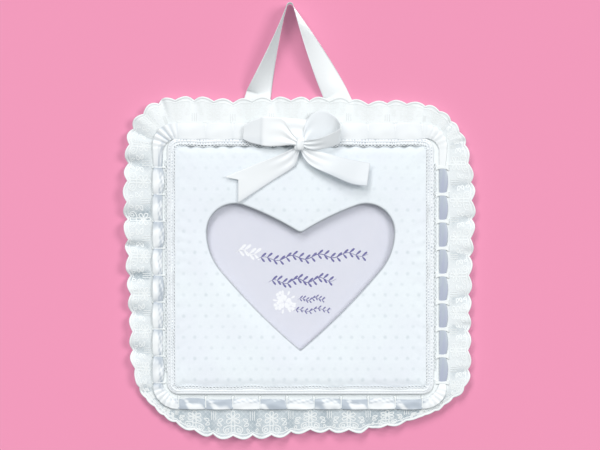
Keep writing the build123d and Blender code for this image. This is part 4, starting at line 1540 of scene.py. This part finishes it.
def backdrop_finish():
    """Plain wall that only the camera sees, and only from its front."""
    finish = Finish("backdrop")
    seen = finish.node("ShaderNodeLightPath", None, None, "Is Camera Ray")
    behind = finish.node("ShaderNodeNewGeometry", None, None, "Backfacing")
    plain = finish.node("ShaderNodeBsdfDiffuse", None, {"Color": colours()["wall"]})
    clear = finish.node("ShaderNodeBsdfTransparent")
    shown = finish.node("ShaderNodeMixShader", None, {0: seen * (1.0 - behind), 1: clear, 2: plain})
    finish.node("ShaderNodeOutputMaterial", None, {"Surface": shown})
    return finish.material


def sun(name, shines, strength, softness):
    """A lamp that shines in a direction; softness is its angle in radians."""
    light = bpy.data.lights.new(name, "SUN")
    light.energy = strength
    light.angle = softness
    holder = bpy.data.objects.new(name, light)
    holder.rotation_mode = "QUATERNION"
    holder.rotation_quaternion = Vector(shines).to_track_quat("-Z", "Y")
    bpy.context.scene.collection.objects.link(holder)


class Stage(bpy.types.Operator):
    """Plain backdrop, soft lamps and the camera"""

    bl_idname = "photo_frame.stage"
    bl_label = "Stage"

    def execute(self, context):
        scene = bpy.context.scene
        scene.view_settings.view_transform = "Standard"
        mesh = bpy.data.meshes.new("backdrop")
        wall_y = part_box("back_lining")[1].y + 0.0006
        corners = [(-3, wall_y, -3), (3, wall_y, -3), (3, wall_y, 3), (-3, wall_y, 3)]
        mesh.from_pydata(corners, [], [(0, 1, 2, 3)])
        mesh.materials.append(backdrop_finish())
        wall = bpy.data.objects.new("backdrop", mesh)
        scene.collection.objects.link(wall)

        scene.world = bpy.data.worlds.new("studio")
        scene.world.use_nodes = True
        sky = scene.world.node_tree.nodes["Background"]
        sky.inputs["Color"].default_value = linear((0.975, 0.99, 1.0))
        sky.inputs["Strength"].default_value = 0.405
        sun("key", (0.45, 1.0, -0.5), 0.58, 0.3)
        sun("top", (0.2, 1.0, -1.05), 0.97, 0.4)
        sun("fill", (-0.65, 1.0, -0.25), 1.04, 0.4)
        sun("back", (-0.2, -1.0, -0.5), 1.3, 0.8)

        lens = bpy.data.cameras.new("camera")
        lens.sensor_width = 36.0
        lens.lens = 180.0
        camera = bpy.data.objects.new("camera", lens)
        camera.location = (0.010, -3.0, -0.2216)
        camera.rotation_euler = (math.pi / 2, 0.0, 0.0)
        scene.collection.objects.link(camera)
        scene.camera = camera
        return {"FINISHED"}


piece_operators = (
    PaddedPanel, BoardsAndBack, InsertCard, LaceRuffle, ThreadedRibbon, GimpBraid, SatinBow, HangingLoop)


class FramePanel(bpy.types.Panel):
    """Lists the frame's pieces, sizes and colours"""

    bl_idname = "VIEW3D_PT_photo_frame"
    bl_label = "Photo frame"
    bl_space_type = "VIEW_3D"
    bl_region_type = "UI"
    bl_category = "Photo Frame"

    def draw(self, context):
        for operator in (Stage, *piece_operators):
            self.layout.operator(operator.bl_idname)
        for group in (context.scene.photo_frame_sizes, context.scene.photo_frame_colours):
            for name in type(group).__annotations__:
                self.layout.prop(group, name)


classes = (FrameSizes, FrameColours, Stage, *piece_operators, FramePanel)


def register():
    """Makes the sizes, colours, operators and panel known to Blender."""
    for known in classes:
        bpy.utils.register_class(known)
    bpy.types.Scene.photo_frame_sizes = bpy.props.PointerProperty(type=FrameSizes)
    bpy.types.Scene.photo_frame_colours = bpy.props.PointerProperty(type=FrameColours)


def unregister():
    """Takes them out again."""
    del bpy.types.Scene.photo_frame_colours
    del bpy.types.Scene.photo_frame_sizes
    for known in reversed(classes):
        bpy.utils.unregister_class(known)


def main():
    """Builds the whole dressed frame."""
    register()
    bpy.ops.photo_frame.stage()
    bpy.ops.photo_frame.padded_panel()
    bpy.ops.photo_frame.boards_and_back()
    bpy.ops.photo_frame.insert_card()
    bpy.ops.photo_frame.lace_ruffle()
    bpy.ops.photo_frame.threaded_ribbon()
    bpy.ops.photo_frame.gimp_braid()
    bpy.ops.photo_frame.satin_bow()
    bpy.ops.photo_frame.hanging_loop()


if __name__ == "__main__":
    main()
